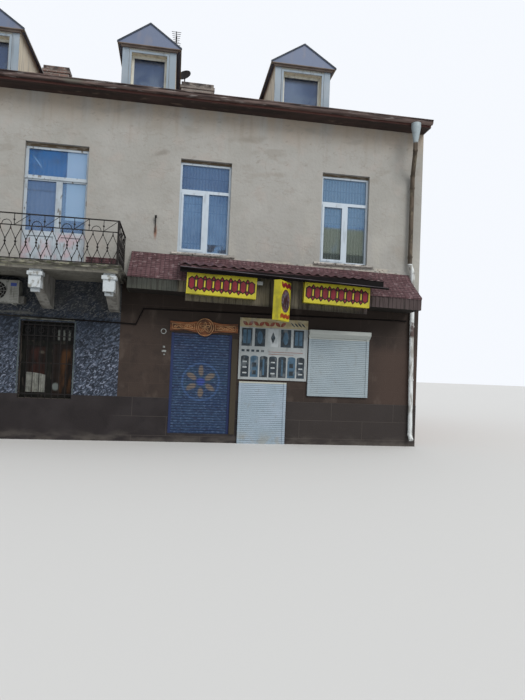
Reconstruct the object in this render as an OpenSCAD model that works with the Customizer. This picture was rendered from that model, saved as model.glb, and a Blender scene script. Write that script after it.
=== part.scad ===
// Two-storey terraced shop house with a balcony, a shop canopy and three roof dormers.
// Millimetres. The origin is on the ground at the middle of the footprint,
// the street front faces -Y and +Z is up.

/* [House] */
// Width of the street front between the two party lines
house_w = 13950; // [13800:10:14200]
// Depth from the street front to the back face
house_d = 9600; // [9200:100:10400]
// Thickness of the front wall
front_t = 500; // [400:10:600]
// Thickness of the back wall
back_t = 450; // [400:10:550]
// Thickness of each party wall
party_t = 380; // [250:10:450]
// Height of the ground floor above the lowest ground
ground_z = 200; // [180:5:220]
// Height of the first floor
first_z = 3700; // [3690:5:3710]
// Depth of the attic floor below the roof's edge
attic_drop = 440; // [290:10:590]
// Thickness of the first floor and the attic floor
floor_t = 280; // [220:10:320]

/* [Roof] */
// Distance from the roof's edge down to the flat soffit under the eaves
soffit_drop = 160; // [155:5:200]
// Distance that the eaves stand out from the wall
eave_out = 400; // [350:10:450]
// Height of the roof's top face at the eaves
eave_top_z = 7890; // [7885:5:7930]
// Pitch of the main roof in degrees
roof_pitch = 24; // [22:0.5:25]
// Thickness of the roof measured upright
roof_t = 150; // [130:5:150]
// Half width of the ridge capping
ridge_half = 150; // [100:10:200]
// Thickness of the ridge capping
ridge_t = 50; // [30:1:70]
// Width of the roof gutters
roof_gutter_w = 120; // [100:5:140]
// Depth of the roof gutters
roof_gutter_h = 105; // [90:5:115]
// Diameter of the downpipes
pipe_d = 105; // [90:1:115]
// Distance from the party line to the downpipe beside the canopy
pipe_end = 220; // [200:5:240]
// Width of the left chimney
chimney_left_w = 770; // [700:10:850]
// Width of the right chimney
chimney_right_w = 1040; // [950:10:1100]
// Depth of the chimneys
chimney_d = 520; // [450:10:600]
// Height of the chimneys above the ridge
chimney_h = 665; // [560:5:720]
// Height of the aerial's top above the ridge
aerial_h = 2160; // [1900:10:2300]
// Diameter of the satellite dish
dish_d = 440; // [380:10:500]

/* [Upper windows] */
// Distance from each party line to the centre of the nearest window
end_bay = 1955; // [1900:5:2000]
// Distance between the left window and the balcony door
left_bay = 3320; // [3290:5:3350]
// Distance between the two windows over the canopy
right_bay = 3385; // [3350:5:3420]
// Width of each upper window
window_w = 1185; // [1140:5:1220]
// Underside of each upper window
window_foot_z = 4365; // [4365:5:4420]
// Head of each upper window
window_head_z = 6540; // [6480:5:6560]
// Height of the strip over each upper window frame
head_strip_h = 60; // [40:5:80]
// Middle height of the cross bar in each upper window
window_bar_z = 5822; // [5700:1:5900]
// Height of the cross bars
bar_h = 70; // [60:1:90]
// Width of the upright bar in each window
mullion_w = 95; // [80:1:110]
// Setback of windows behind the wall face
window_set = 100; // [60:5:140]
// Depth of the window frames
frame_t = 75; // [70:1:90]
// Width of the frame bars seen from the street
frame_bar = 45; // [40:1:60]
// Width of the bars of the opening casement
sash_bar = 52; // [45:1:60]
// Distance that the opening casement stands proud of its frame
sash_proud = 13; // [10:1:16]
// Overhang of a window sill at each side
sill_side = 145; // [100:5:160]
// Width of the balcony door opening
balcony_door_w = 1370; // [1320:2:1400]
// Head of the balcony door
balcony_door_head_z = 6598; // [6540:2:6620]
// Middle height of the balcony door's cross bar
balcony_door_bar_z = 5820; // [5700:5:5900]
// Top of the panels in the balcony door
door_panel_z = 4630; // [4550:5:4700]

/* [Shop front] */
// Top of the plinth
plinth_z = 1000; // [950:5:1050]
// Thickness of the brown and stone facings
facing_t = 30; // [20:1:40]
// Thickness of the plinth tiles
plinth_t = 42; // [41:1:50]
// Width of the wall between the shop door and the low hatch
door_gap = 254; // [250:1:262]
// Width of the shop door opening
shop_door_w = 1395; // [1340:5:1400]
// Height of the shop door opening above the floor
shop_door_h = 2300; // [2260:5:2300]
// Width of the timber strip beside the shop door
strip_w = 130; // [110:5:140]
// Distance from the right party line to the centre of the low hatch
hatch_end = 3819; // [3810:1:3830]
// Width of the low hatch opening
hatch_w = 1000; // [940:5:1010]
// Head of the low hatch opening
hatch_head_z = 1370; // [1340:5:1390]
// Distance from the right party line to the centre of the shop window
shop_window_end = 2006; // [1990:1:2015]
// Width of the shop window opening
shop_window_w = 1380; // [1320:5:1400]
// Underside of the shop window opening
shop_window_foot_z = 1200; // [1190:5:1250]
// Head of the shop window opening
shop_window_head_z = 2500; // [2450:5:2530]
// Distance that the shutter box over the shop window stands out
shutter_box_out = 165; // [150:5:180]
// Pitch of the slats in the blue door shutter
door_slat = 60; // [50:1:70]
// Pitch of the slats in the white shutters
white_slat = 45; // [40:1:55]
// Width of the poster panel
poster_w = 1627; // [1600:1:1635]
// Height of the poster panel
poster_h = 1436; // [1400:2:1440]
// Width of each barred window
barred_w = 1140; // [1080:5:1200]
// Underside of each barred window
barred_foot_z = 900; // [880:5:940]
// Head of each barred window
barred_head_z = 2600; // [2550:5:2610]
// Radius of the roundel on the board over the shop door
roundel_r = 210; // [190:5:220]

/* [Balcony] */
// Width of the balcony slab
balcony_w = 3300; // [3220:10:3320]
// Distance that the balcony stands out
balcony_out = 1550; // [1500:10:1650]
// Thickness of the balcony slab
balcony_t = 160; // [150:2:170]
// Width of each console bracket
bracket_w = 230; // [210:5:240]
// Distance from the slab's ends to the middle of the end brackets
bracket_in = 230; // [220:5:250]
// Height of the brackets where they meet the wall
bracket_h = 655; // [600:5:700]
// Height of the railing above the slab
railing_h = 910; // [880:5:950]
// Height of the open frieze under the top rail
frieze_h = 250; // [220:5:270]
// Distance between the lattice knots along the railing
knot_gap = 190; // [170:1:210]
// Thickness of the railing's bars
iron_t = 12; // [10:1:14]
// Width of the corner posts
post_w = 30; // [24:1:36]

/* [Canopy] */
// Distance that the canopy roof stands out
canopy_out = 850; // [820:5:880]
// Height of the canopy roof's top face at the wall
canopy_wall_z = 4205; // [4190:5:4205]
// Height of the canopy roof's top face at its eave
canopy_eave_z = 3590; // [3570:5:3610]
// Thickness of the canopy roof measured upright
canopy_t = 45; // [35:1:55]
// Fall of the canopy to the right, in degrees
canopy_sag = 1; // [0.9:0.1:1.1]
// Height of the canopy's flat soffit
canopy_soffit_z = 3300; // [3290:5:3320]
// Number of tile courses on the canopy roof
courses = 5; // [4:1:6]
// Width of the raised awning
awning_w = 4490; // [4440:10:4520]
// Distance that the raised awning stands out
awning_out = 1180; // [1150:5:1220]
// Height of the raised awning's underside at its front
awning_front_z = 3835; // [3820:5:3850]
// Distance between the waves of the raised awning
wave_gap = 200; // [180:5:220]
// Height of the waves of the raised awning
wave_h = 36; // [28:1:44]
// Fall of the canopy gutter against the awning, in degrees
gutter_fall = 1.25; // [1:0.05:1.5]
// Distance between the ribs of the sheet that carries the signs
rib_gap = 100; // [80:5:120]
// Underside of the ribbed sheet that carries the signs
panel_foot_z = 3110; // [3080:5:3150]
// Width of the two sign boxes
sign_w = 1505; // [1480:5:1540]
// Height of the two sign boxes
sign_h = 460; // [440:5:470]
// Depth of the two sign boxes
sign_t = 150; // [120:5:160]
// Fall of the sign boxes against the canopy, in degrees
sign_sag = 0.7; // [0:0.1:1]
// Length of the hanging sign
blade_l = 510; // [480:5:540]
// Height of the hanging sign
blade_h = 855; // [820:5:880]
// Thickness of the hanging sign
blade_t = 150; // [130:5:170]
// Turn of the hanging sign, in degrees
blade_turn = 38; // [34:1:42]

/* [Dormers] */
// Width of the left and middle dormers
dormer_w = 1230; // [1180:5:1280]
// Width of the right dormer
dormer_right_w = 1370; // [1300:5:1400]
// Overhang of a dormer's roof at each side
dormer_side = 115; // [100:5:130]
// Distance from the street face to the dormer fronts
dormer_set = 150; // [130:5:200]
// Height of the dormer eaves above the main roof's eave
dormer_eave_rise = 1240; // [1210:5:1270]
// Height of the dormer ridges above the dormer eaves
dormer_pitch_rise = 510; // [480:5:540]
// Overhang of the dormer roofs at the front
dormer_front = 120; // [90:5:125]
// Thickness of the dormer roofs measured upright
dormer_roof_t = 30; // [26:1:40]
// Thickness of the dormer walls
dormer_wall_t = 90; // [70:5:110]
// Thickness of the dormer fronts
dormer_front_t = 230; // [215:5:245]
// Width of the boards on the dormers' corners
corner_board = 150; // [120:5:160]

/* [Hidden] */

$fn = 24;
half_w = house_w / 2;
in_y = front_t;
in_back_y = house_d - back_t;
mid_y = house_d / 2;
slope = tan(roof_pitch);

window_left_x = -half_w + end_bay;
balcony_door_x = window_left_x + left_bay;
window_right_x = half_w - end_bay;
window_middle_x = window_right_x - right_bay;
upper_windows_x = [window_left_x, window_middle_x, window_right_x];
barred_windows_x = [window_left_x, balcony_door_x - 5];
back_x = [window_left_x, balcony_door_x, window_middle_x, window_right_x];
head_frame_z = window_head_z - head_strip_h;

hatch_x = half_w - hatch_end;
shop_door_x = hatch_x - hatch_w / 2 - door_gap - shop_door_w / 2;
shop_window_x = half_w - shop_window_end;
door_head_z = ground_z + shop_door_h;

slab_x0 = balcony_door_x - balcony_w / 2;
slab_x1 = balcony_door_x + balcony_w / 2;
slab_foot_z = first_z - balcony_t;
bracket_x = [slab_x0 + bracket_in, balcony_door_x, slab_x1 - bracket_in];
brown_x = slab_x1 - bracket_in + bracket_w / 2 + 20;

// The canopy fills the front between the balcony and the downpipe
canopy_gap = 68;
canopy_end_gap = 25;
pipe_foot_x = half_w - pipe_end;
canopy_left = slab_x1 + canopy_gap;
canopy_right = pipe_foot_x - pipe_d / 2 - canopy_end_gap;
canopy_x = (canopy_left + canopy_right) / 2;
canopy_w = canopy_right - canopy_left;

// Centre and width of each dormer
dormers = [
    [window_left_x + 1740, dormer_w],
    [window_middle_x - 1428, dormer_w],
    [window_right_x - 1150, dormer_right_w]
];
chimney_left_x = dormers[0][0] + 370;
chimney_right_x = dormers[1][0] + 1258;
chimney_y = mid_y + 200;

// Height of the main roof's top face at a distance y behind the street face
function roof_z(y) = eave_top_z + (min(y, house_d - y) + eave_out) * slope;
// Height of the canopy roof's top face at a distance out from the wall
function canopy_z(out) = canopy_wall_z - out * (canopy_wall_z - canopy_eave_z) / canopy_out;

ridge_z = roof_z(mid_y);
soffit_z = eave_top_z - soffit_drop;
attic_z = eave_top_z - attic_drop;
dormer_eave_z = eave_top_z + dormer_eave_rise;
dormer_top_z = dormer_eave_z + dormer_pitch_rise;
chimney_top_z = ridge_z + chimney_h;

// Moves a piece from the street face (y = 0) to the footprint's centre
module placed() {
    translate([0, -house_d / 2, 0]) children();
}

// Turns a piece drawn on the street face onto the back face
module at_back() {
    translate([0, house_d, 0]) mirror([0, 1, 0]) children();
}

module box(x0, x1, y0, y1, z0, z1) {
    translate([x0, y0, z0]) cube([x1 - x0, y1 - y0, z1 - z0]);
}

// Extrudes an outline in y and z along the front from x0 to x1
module along_x(x0, x1, outline) {
    translate([x0, 0, 0]) rotate([90, 0, 90]) linear_extrude(x1 - x0) polygon(outline);
}

// Extrudes an outline in x and z from y0 back to y1
module along_y(y0, y1, outline) {
    translate([0, y1, 0]) rotate([90, 0, 0]) linear_extrude(y1 - y0) polygon(outline);
}

// Opening through a wall, drawn from before its face to behind it
module opening(x, w, z0, z1, depth = 700) {
    box(x - w / 2, x + w / 2, -100, depth, z0, z1);
}

module ground_openings() {
    opening(shop_door_x, shop_door_w, ground_z, door_head_z);
    opening(hatch_x, hatch_w, ground_z, hatch_head_z);
    opening(shop_window_x, shop_window_w, shop_window_foot_z, shop_window_head_z);
    for (x = barred_windows_x) opening(x, barred_w, barred_foot_z, barred_head_z);
}

module front_wall_ground() {
    color("dimgray") placed() difference() {
        box(-half_w, half_w, 0, front_t, 0, first_z);
        ground_openings();
    }
}

module upper_wall(t) {
    along_x(-half_w, half_w, [
        [0, first_z], [t, first_z], [t, roof_z(t) - roof_t], [0, roof_z(0) - roof_t]
    ]);
}

module front_wall_upper() {
    color("wheat") placed() difference() {
        upper_wall(front_t);
        for (x = upper_windows_x) opening(x, window_w, window_foot_z, window_head_z);
        opening(balcony_door_x, balcony_door_w, first_z, balcony_door_head_z);
    }
}

// The back has a door below the third row of windows
back_foot_z = 1100;
back_head_z = 2600;
back_door_w = 1000;
back_door_h = 2100;
back_low_x = [window_left_x, balcony_door_x, window_right_x];

module back_wall_ground() {
    color("wheat") placed() at_back() difference() {
        box(-half_w, half_w, 0, back_t, 0, first_z);
        for (x = back_low_x) opening(x, window_w, back_foot_z, back_head_z);
        opening(window_middle_x, back_door_w, ground_z, ground_z + back_door_h);
    }
}

module back_wall_upper() {
    color("wheat") placed() at_back() difference() {
        upper_wall(back_t);
        for (x = back_x) opening(x, window_w, window_foot_z, window_head_z);
    }
}

module party_wall(x0) {
    along_x(x0, x0 + party_t, [
        [in_y, 0], [in_back_y, 0],
        [in_back_y, roof_z(in_back_y) - roof_t],
        [mid_y, ridge_z - roof_t],
        [in_y, roof_z(in_y) - roof_t]
    ]);
}

module party_wall_left() {
    color("rosybrown") placed() party_wall(-half_w);
}

module party_wall_right() {
    color("rosybrown") placed() party_wall(half_w - party_t);
}

module floor_slab(z0, z1) {
    box(-half_w + party_t, half_w - party_t, in_y, in_back_y, z0, z1);
}

module ground_floor() {
    color("gray") placed() floor_slab(0, ground_z);
}

module first_floor() {
    color("gray") placed() floor_slab(first_z - floor_t, first_z);
}

module attic_floor() {
    color("burlywood") placed() floor_slab(attic_z - floor_t, attic_z);
}

// One slope of the main roof, from the eave to the ridge
module roof_slope() {
    along_x(-half_w, half_w, [
        [-eave_out, eave_top_z - roof_t], [mid_y, ridge_z - roof_t],
        [mid_y, ridge_z], [-eave_out, eave_top_z]
    ]);
}

module roof_front() {
    color("brown") placed() difference() {
        roof_slope();
        for (d = dormers) along_y(dormer_set, dormer_back_y, dormer_outline(d, 0));
    }
}

module roof_back() {
    color("brown") placed() difference() {
        at_back() roof_slope();
        chimney_shaft(chimney_left_x, chimney_left_w);
        chimney_shaft(chimney_right_x, chimney_right_w);
    }
}

module ridge_cap() {
    drop = ridge_half * slope;
    color("brown") placed() along_x(-half_w, half_w, [
        [mid_y - ridge_half, ridge_z - drop], [mid_y, ridge_z],
        [mid_y + ridge_half, ridge_z - drop],
        [mid_y + ridge_half, ridge_z - drop + ridge_t],
        [mid_y, ridge_z + ridge_t],
        [mid_y - ridge_half, ridge_z - drop + ridge_t]
    ]);
}

// Boxed soffit between the wall head and the roof's edge
module eaves_box() {
    along_x(-half_w, half_w, [
        [-eave_out, soffit_z], [0, soffit_z],
        [0, roof_z(0) - roof_t], [-eave_out, eave_top_z - roof_t]
    ]);
}

module eaves_boxes() {
    color("saddlebrown") placed() {
        eaves_box();
        at_back() eaves_box();
    }
}

// Half-round section of a roof gutter, inset by the sheet thickness
gutter_t = 6;
gutter_top_z = eave_top_z - 15;
gutter_y = -eave_out - roof_gutter_w / 2;
gutter_foot_z = gutter_top_z - roof_gutter_h;
function gutter_outline(inset, top) = concat(
    [[gutter_y + roof_gutter_w / 2 - inset, top]],
    [for (a = [0:15:180]) [
        gutter_y + (roof_gutter_w / 2 - inset) * cos(a),
        gutter_foot_z + roof_gutter_h / 2 - (roof_gutter_h / 2 - inset) * sin(a)
    ]],
    [[gutter_y - roof_gutter_w / 2 + inset, top]]
);

// Gutter along one eave with closed ends and a bead on its lip
module roof_gutter() {
    bead = 18;
    difference() {
        along_x(-half_w, half_w, gutter_outline(0, gutter_top_z));
        along_x(-half_w + gutter_t, half_w - gutter_t, gutter_outline(gutter_t, gutter_top_z + 20));
    }
    box(-half_w, half_w, gutter_y - roof_gutter_w / 2 - bead, gutter_y - roof_gutter_w / 2,
        gutter_top_z - bead, gutter_top_z);
}

module roof_gutters() {
    color("saddlebrown") placed() {
        roof_gutter();
        at_back() roof_gutter();
    }
}

// Round pipe between two points
module pipe(a, b, d) {
    v = b - a;
    l = norm(v);
    translate(a) rotate([0, acos(v[2] / l), atan2(v[1], v[0])]) cylinder(d = d, h = l);
}

// Pipe through a list of points with a wider ball at each bend
module pipe_run(points, d) {
    for (i = [0:len(points) - 2]) pipe(points[i], points[i + 1], d);
    for (i = [1:len(points) - 2]) translate(points[i]) sphere(d = d * 1.15);
}

// Round collar on a pipe with an arm back to the wall face at y1
module pipe_clamp(x, z, y1) {
    collar_h = 40;
    translate([x, -pipe_y, z]) cylinder(d = pipe_d + 16, h = collar_h);
    box(x - 15, x + 15, -pipe_y, y1, z, z + collar_h);
}

pipe_y = 110;
pipe_foot_z = 300;
elbow_top_z = 4430;
elbow_foot_z = 4230;
hopper_w = 225;
hopper_h = 470;

// Hopper under the gutter, swan neck, upper pipe, elbow and leaning lower pipe
module front_downpipe() {
    hopper_x = pipe_foot_x - 190;
    upper_x = pipe_foot_x - 83;
    foot_x = pipe_foot_x + 60;
    color("dimgray") placed() {
        translate([hopper_x, gutter_y, gutter_foot_z - hopper_h])
            cylinder(d1 = pipe_d, d2 = hopper_w, h = hopper_h - 90);
        translate([hopper_x, gutter_y, gutter_foot_z - 90]) cylinder(d = hopper_w, h = 90);
        pipe_run([
            [hopper_x, gutter_y, gutter_foot_z - hopper_h],
            [hopper_x, gutter_y, gutter_foot_z - 650],
            [upper_x, -pipe_y, gutter_foot_z - 1150],
            [upper_x, -pipe_y, elbow_top_z],
            [pipe_foot_x, -pipe_y, elbow_foot_z],
            [foot_x, -pipe_y, pipe_foot_z],
            [foot_x, -pipe_y - 90, pipe_foot_z - 130]
        ], pipe_d);
        for (z = [elbow_top_z + 170, gutter_foot_z - 1470]) pipe_clamp(upper_x, z, 0);
        for (z = [1600, 2900]) pipe_clamp(
            pipe_foot_x + 60 * (elbow_foot_z - z) / (elbow_foot_z - pipe_foot_z), z, -facing_t);
    }
}

module back_downpipe() {
    x = -half_w + pipe_end;
    color("dimgray") placed() at_back() {
        translate([x, gutter_y, gutter_foot_z - hopper_h])
            cylinder(d1 = pipe_d, d2 = hopper_w, h = hopper_h);
        pipe_run([
            [x, gutter_y, gutter_foot_z - hopper_h],
            [x, gutter_y, gutter_foot_z - 650],
            [x, -pipe_y, gutter_foot_z - 1150],
            [x, -pipe_y, pipe_foot_z],
            [x, -pipe_y - 90, pipe_foot_z - 130]
        ], pipe_d);
        for (z = [pipe_foot_z + 1300, gutter_foot_z - 3170, gutter_foot_z - 1470]) pipe_clamp(x, z, 0);
    }
}

dormer_back_y = (dormer_top_z - eave_top_z) / slope - eave_out;
function dormer_half(d) = d[1] / 2 + dormer_side;
// Height of a dormer roof's underside at a distance from its middle
function dormer_under_z(d, out) =
    dormer_top_z - dormer_roof_t - out * (dormer_top_z - dormer_eave_z) / dormer_half(d);
function dormer_window_w(d) = d[1] - 420;
dormer_window_foot_z = dormer_eave_z - 930;
dormer_window_head_z = dormer_eave_z - 170;

// Outline of a dormer body below its roof, down to the attic floor
function dormer_outline(d, inset) = [
    [d[0] - d[1] / 2 + inset, attic_z],
    [d[0] + d[1] / 2 - inset, attic_z],
    [d[0] + d[1] / 2 - inset, dormer_under_z(d, d[1] / 2 - inset) - inset],
    [d[0], dormer_under_z(d, 0) - inset],
    [d[0] - d[1] / 2 + inset, dormer_under_z(d, d[1] / 2 - inset) - inset]
];

// Space above a line parallel to the main roof's front slope
module above_slope(drop) {
    along_x(-half_w, half_w, [
        [-eave_out, eave_top_z - drop], [mid_y, ridge_z - drop],
        [mid_y, ridge_z + 2000], [-eave_out, ridge_z + 2000]
    ]);
}

module dormer_body(d) {
    w = dormer_window_w(d);
    intersection() {
        above_slope(roof_t);
        difference() {
            along_y(dormer_set, dormer_back_y, dormer_outline(d, 0));
            along_y(dormer_set + dormer_front_t, dormer_back_y + 10, dormer_outline(d, dormer_wall_t));
            box(d[0] - w / 2, d[0] + w / 2, 0, dormer_set + dormer_front_t + 50,
                dormer_window_foot_z, dormer_window_head_z);
        }
    }
}

pediment_foot_z = dormer_eave_z - 20;

// Wide boards on the front corners and a narrow casing round the window
module dormer_boards(d) {
    board_t = 22;
    casing = 50;
    w = dormer_window_w(d);
    intersection() {
        above_slope(0);
        union() {
            for (s = [-1, 1]) box(
                d[0] + s * (d[1] - corner_board) / 2 - corner_board / 2,
                d[0] + s * (d[1] - corner_board) / 2 + corner_board / 2,
                dormer_set - board_t, dormer_set, attic_z, pediment_foot_z);
            difference() {
                box(d[0] - w / 2 - casing, d[0] + w / 2 + casing, dormer_set - board_t, dormer_set,
                    dormer_window_foot_z - casing, dormer_window_head_z + casing);
                box(d[0] - w / 2, d[0] + w / 2, 0, dormer_set + 10,
                    dormer_window_foot_z, dormer_window_head_z);
            }
        }
    }
}

module dormer_bodies() {
    color("lightsteelblue") placed() for (d = dormers) {
        dormer_body(d);
        dormer_boards(d);
    }
}

// Two roof slopes, and the boxed gable in front of the body
module dormer_roof(d) {
    half = dormer_half(d);
    front_y = dormer_set - dormer_front;
    intersection() {
        above_slope(0);
        union() {
            along_y(front_y, dormer_back_y + 200, [
                [d[0] - half, dormer_eave_z - dormer_roof_t], [d[0], dormer_top_z - dormer_roof_t],
                [d[0] + half, dormer_eave_z - dormer_roof_t], [d[0] + half, dormer_eave_z],
                [d[0], dormer_top_z], [d[0] - half, dormer_eave_z]
            ]);
            along_y(front_y + 12, dormer_set, [
                [d[0] - half + 12, pediment_foot_z], [d[0] + half - 12, pediment_foot_z],
                [d[0], dormer_top_z - 20]
            ]);
        }
    }
}

module dormer_roofs() {
    color("slategray") placed() for (d = dormers) dormer_roof(d);
}

dormer_frame = 55;
dormer_frame_y = dormer_set + 140;
module dormer_windows() {
    color("white") placed() for (d = dormers) {
        w = dormer_window_w(d);
        difference() {
            box(d[0] - w / 2, d[0] + w / 2, dormer_frame_y, dormer_frame_y + dormer_frame,
                dormer_window_foot_z, dormer_window_head_z);
            box(d[0] - w / 2 + dormer_frame, d[0] + w / 2 - dormer_frame, dormer_frame_y - 10,
                dormer_frame_y + dormer_frame + 10, dormer_window_foot_z + dormer_frame,
                dormer_window_head_z - dormer_frame);
        }
    }
}

module chimney_shaft(x, w) {
    box(x - w / 2, x + w / 2, chimney_y, chimney_y + chimney_d, attic_z, chimney_top_z);
}

// Brick stack with a corbelled band below its top and open flues
module chimney(x, w) {
    band = 30;
    flue = 190;
    flue_gap = (w - 3 * flue) / 4;
    difference() {
        union() {
            chimney_shaft(x, w);
            box(x - w / 2 - band, x + w / 2 + band, chimney_y - band, chimney_y + chimney_d + band,
                chimney_top_z - 200, chimney_top_z - 110);
        }
        for (i = [0:2]) translate([x - w / 2 + flue_gap + i * (flue + flue_gap),
            chimney_y + (chimney_d - flue) / 2, chimney_top_z - 500]) cube([flue, flue, 600]);
    }
}

module chimneys() {
    color("rosybrown") placed() {
        chimney(chimney_left_x, chimney_left_w);
        chimney(chimney_right_x, chimney_right_w);
    }
}

// Mast held to the right chimney by two arms, with two rows of crossed rods
module aerial() {
    $fn = 8;
    side_x = chimney_right_x - chimney_right_w / 2;
    mast_x = side_x - chimney_right_w * 0.22;
    mast_y = chimney_y + 120;
    mast_foot_z = ridge_z + 60;
    top_z = ridge_z + aerial_h;
    color("dimgray") placed() {
        translate([mast_x, mast_y, mast_foot_z]) cylinder(d = 44, h = top_z - mast_foot_z);
        for (z = [mast_foot_z + 60, chimney_top_z - 260])
            translate([mast_x, mast_y, z]) rotate([0, 90, 0]) cylinder(d = 24, h = side_x - mast_x);
        for (z = [top_z - 60, top_z - 420]) {
            translate([mast_x, mast_y - 380, z]) rotate([-90, 0, 0]) cylinder(d = 26, h = 620);
            for (i = [0:5]) translate([mast_x - 150 + i * 12, mast_y - 360 + i * 110, z])
                rotate([0, 90, 0]) cylinder(d = 16, h = 300 - i * 24);
        }
    }
}

// Shallow bowl on a short post at the chimney's front left corner
module satellite_dish() {
    x = chimney_right_x - chimney_right_w / 2 + 95;
    y = chimney_y + 60;
    dish_z = chimney_top_z + 190;
    sheet = 8;
    color("dimgray") placed() {
        translate([x, y, chimney_top_z]) cylinder(d = 36, h = 190);
        translate([x, y, dish_z]) rotate([62, 0, -25]) rotate_extrude($fn = 36) polygon(concat(
            [for (i = [0:6]) [dish_d / 2 * i / 6, 70 * pow(i / 6, 2)]],
            [for (i = [6:-1:0]) [dish_d / 2 * i / 6, 70 * pow(i / 6, 2) - sheet * 2]]
        ));
    }
}

// Openings of a window with one light over the cross bar and two below it
module t_lights(x, w, z0, z1, bar_z, y0, y1) {
    left = x - w / 2 + frame_bar;
    right = x + w / 2 - frame_bar;
    box(left, right, y0, y1, bar_z + bar_h / 2, z1 - frame_bar);
    box(left, x, y0, y1, z0 + frame_bar, bar_z - bar_h / 2);
    box(x + mullion_w, right, y0, y1, z0 + frame_bar, bar_z - bar_h / 2);
}

// Frame of such a window, with a proud casement in its left light
module t_window(x, w, z0, z1, bar_z, set) {
    left = x - w / 2 + frame_bar;
    foot = z0 + frame_bar;
    head = bar_z - bar_h / 2;
    difference() {
        box(x - w / 2, x + w / 2, set, set + frame_t, z0, z1);
        t_lights(x, w, z0, z1, bar_z, set - 10, set + frame_t + 10);
    }
    difference() {
        box(left, x, set - sash_proud, set + frame_t - 10, foot, head);
        box(left + sash_bar, x - sash_bar, set - 50, set + frame_t + 10,
            foot + sash_bar, head - sash_bar);
    }
}

// Panes of such a window, which fill its lights behind the front of the frame
module t_panes(x, w, z0, z1, bar_z, set) {
    left = x - w / 2 + frame_bar;
    difference() {
        t_lights(x, w, z0, z1, bar_z, set + pane_in, set + pane_in + pane_t);
        difference() {
            box(left, x, set, set + frame_t, z0 + frame_bar, bar_z - bar_h / 2);
            box(left + sash_bar, x - sash_bar, set - 10, set + frame_t + 10,
                z0 + frame_bar + sash_bar, bar_z - bar_h / 2 - sash_bar);
        }
    }
}

pane_in = 25;
pane_t = 24;

module upper_windows() {
    color("white") placed() for (x = upper_windows_x)
        t_window(x, window_w, window_foot_z, head_frame_z, window_bar_z, window_set);
}

// Glass of the upper windows, the balcony door and the dormers
module window_panes() {
    color("lightblue") placed() {
        for (x = upper_windows_x)
            t_panes(x, window_w, window_foot_z, head_frame_z, window_bar_z, window_set);
        door_lights(window_set + pane_in, window_set + pane_in + pane_t);
        for (d = dormers) {
            w = dormer_window_w(d) - 2 * dormer_frame;
            box(d[0] - w / 2, d[0] + w / 2, dormer_frame_y + 20, dormer_frame_y + 40,
                dormer_window_foot_z + dormer_frame, dormer_window_head_z - dormer_frame);
        }
    }
}

// Sills with a drip lip, and the brown strips over the frames
module window_trims() {
    sill_h = 75;
    sill_out = 60;
    color("lightgray") placed() {
        for (x = upper_windows_x) {
            along_x(x - window_w / 2 - sill_side, x + window_w / 2 + sill_side, [
                [0, window_foot_z - sill_h], [-sill_out + 20, window_foot_z - sill_h],
                [-sill_out, window_foot_z - 50], [-sill_out, window_foot_z - 12],
                [0, window_foot_z]
            ]);
            box(x - window_w / 2, x + window_w / 2, window_set - 15, window_set + frame_t,
                head_frame_z, window_head_z);
        }
        box(balcony_door_x - balcony_door_w / 2, balcony_door_x + balcony_door_w / 2,
            window_set - 15, window_set + frame_t, door_frame_z, balcony_door_head_z);
    }
}

// The balcony door's meeting stile stands a little to the right of its middle
door_frame_z = balcony_door_head_z - 76;
door_bar_h = 117;
door_stile = 135;
stile_x = balcony_door_x + 63;
door_glass_x0 = balcony_door_x - balcony_door_w / 2 + 65;
door_glass_x1 = balcony_door_x + balcony_door_w / 2 - 50;

module door_lights(y0, y1) {
    head = balcony_door_bar_z - door_bar_h / 2;
    box(door_glass_x0, door_glass_x1, y0, y1, balcony_door_bar_z + door_bar_h / 2, door_frame_z - 50);
    box(door_glass_x0, stile_x - door_stile / 2, y0, y1, door_panel_z, head);
    box(stile_x + door_stile / 2, door_glass_x1, y0, y1, door_panel_z, head);
}

// Two leaves with glass over sunk panels, under a fanlight
module balcony_door() {
    head = balcony_door_bar_z - door_bar_h / 2;
    panels = [
        [door_glass_x0 + 20, stile_x - door_stile / 2 - 20],
        [stile_x + door_stile / 2 + 20, door_glass_x1 - 20]
    ];
    color("white") placed() {
        difference() {
            box(balcony_door_x - balcony_door_w / 2, balcony_door_x + balcony_door_w / 2,
                window_set, window_set + frame_t, first_z, door_frame_z);
            door_lights(window_set - 10, window_set + frame_t + 10);
            for (p = panels) box(p[0], p[1], window_set - 10, window_set + 22,
                first_z + 170, door_panel_z - 110);
        }
        for (p = panels) box(p[0] + 50, p[1] - 50, window_set + 8, window_set + 22,
            first_z + 220, door_panel_z - 160);
        box(stile_x - 22, stile_x + 22, window_set - 18, window_set, first_z + 20, head);
        box(balcony_door_x - balcony_door_w / 2, balcony_door_x + balcony_door_w / 2,
            window_set - 25, window_set, balcony_door_bar_z - 25, balcony_door_bar_z + 30);
    }
}

// Section of the slab's edge: a lip over a hollow moulding, mirrored by the other side
function slab_edge(out) = concat(
    [[out - 60, slab_foot_z], [out - 60, slab_foot_z + 40]],
    [for (a = [0:15:90]) [out - 60 + 45 * (1 - cos(a)), slab_foot_z + 40 + 45 * sin(a)]],
    [[out, slab_foot_z + 90], [out, first_z]]
);

// Moulded slab, made where the front and side sections cross
module balcony_slab() {
    half = balcony_w / 2;
    color("darkgray") placed() intersection() {
        along_x(slab_x0, slab_x1, concat(
            [[0, slab_foot_z]], [for (p = slab_edge(balcony_out)) [-p[0], p[1]]], [[0, first_z]]
        ));
        translate([balcony_door_x, 0, 0]) along_y(-balcony_out, 0, concat(
            [for (p = slab_edge(half)) p],
            [for (i = [len(slab_edge(half)) - 1:-1:0]) [-slab_edge(half)[i][0], slab_edge(half)[i][1]]]
        ));
    }
}

bracket_out = 1450;
block_l = 200;
block_h = 245;
cap_h = 70;
neck_h = 50;

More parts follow.
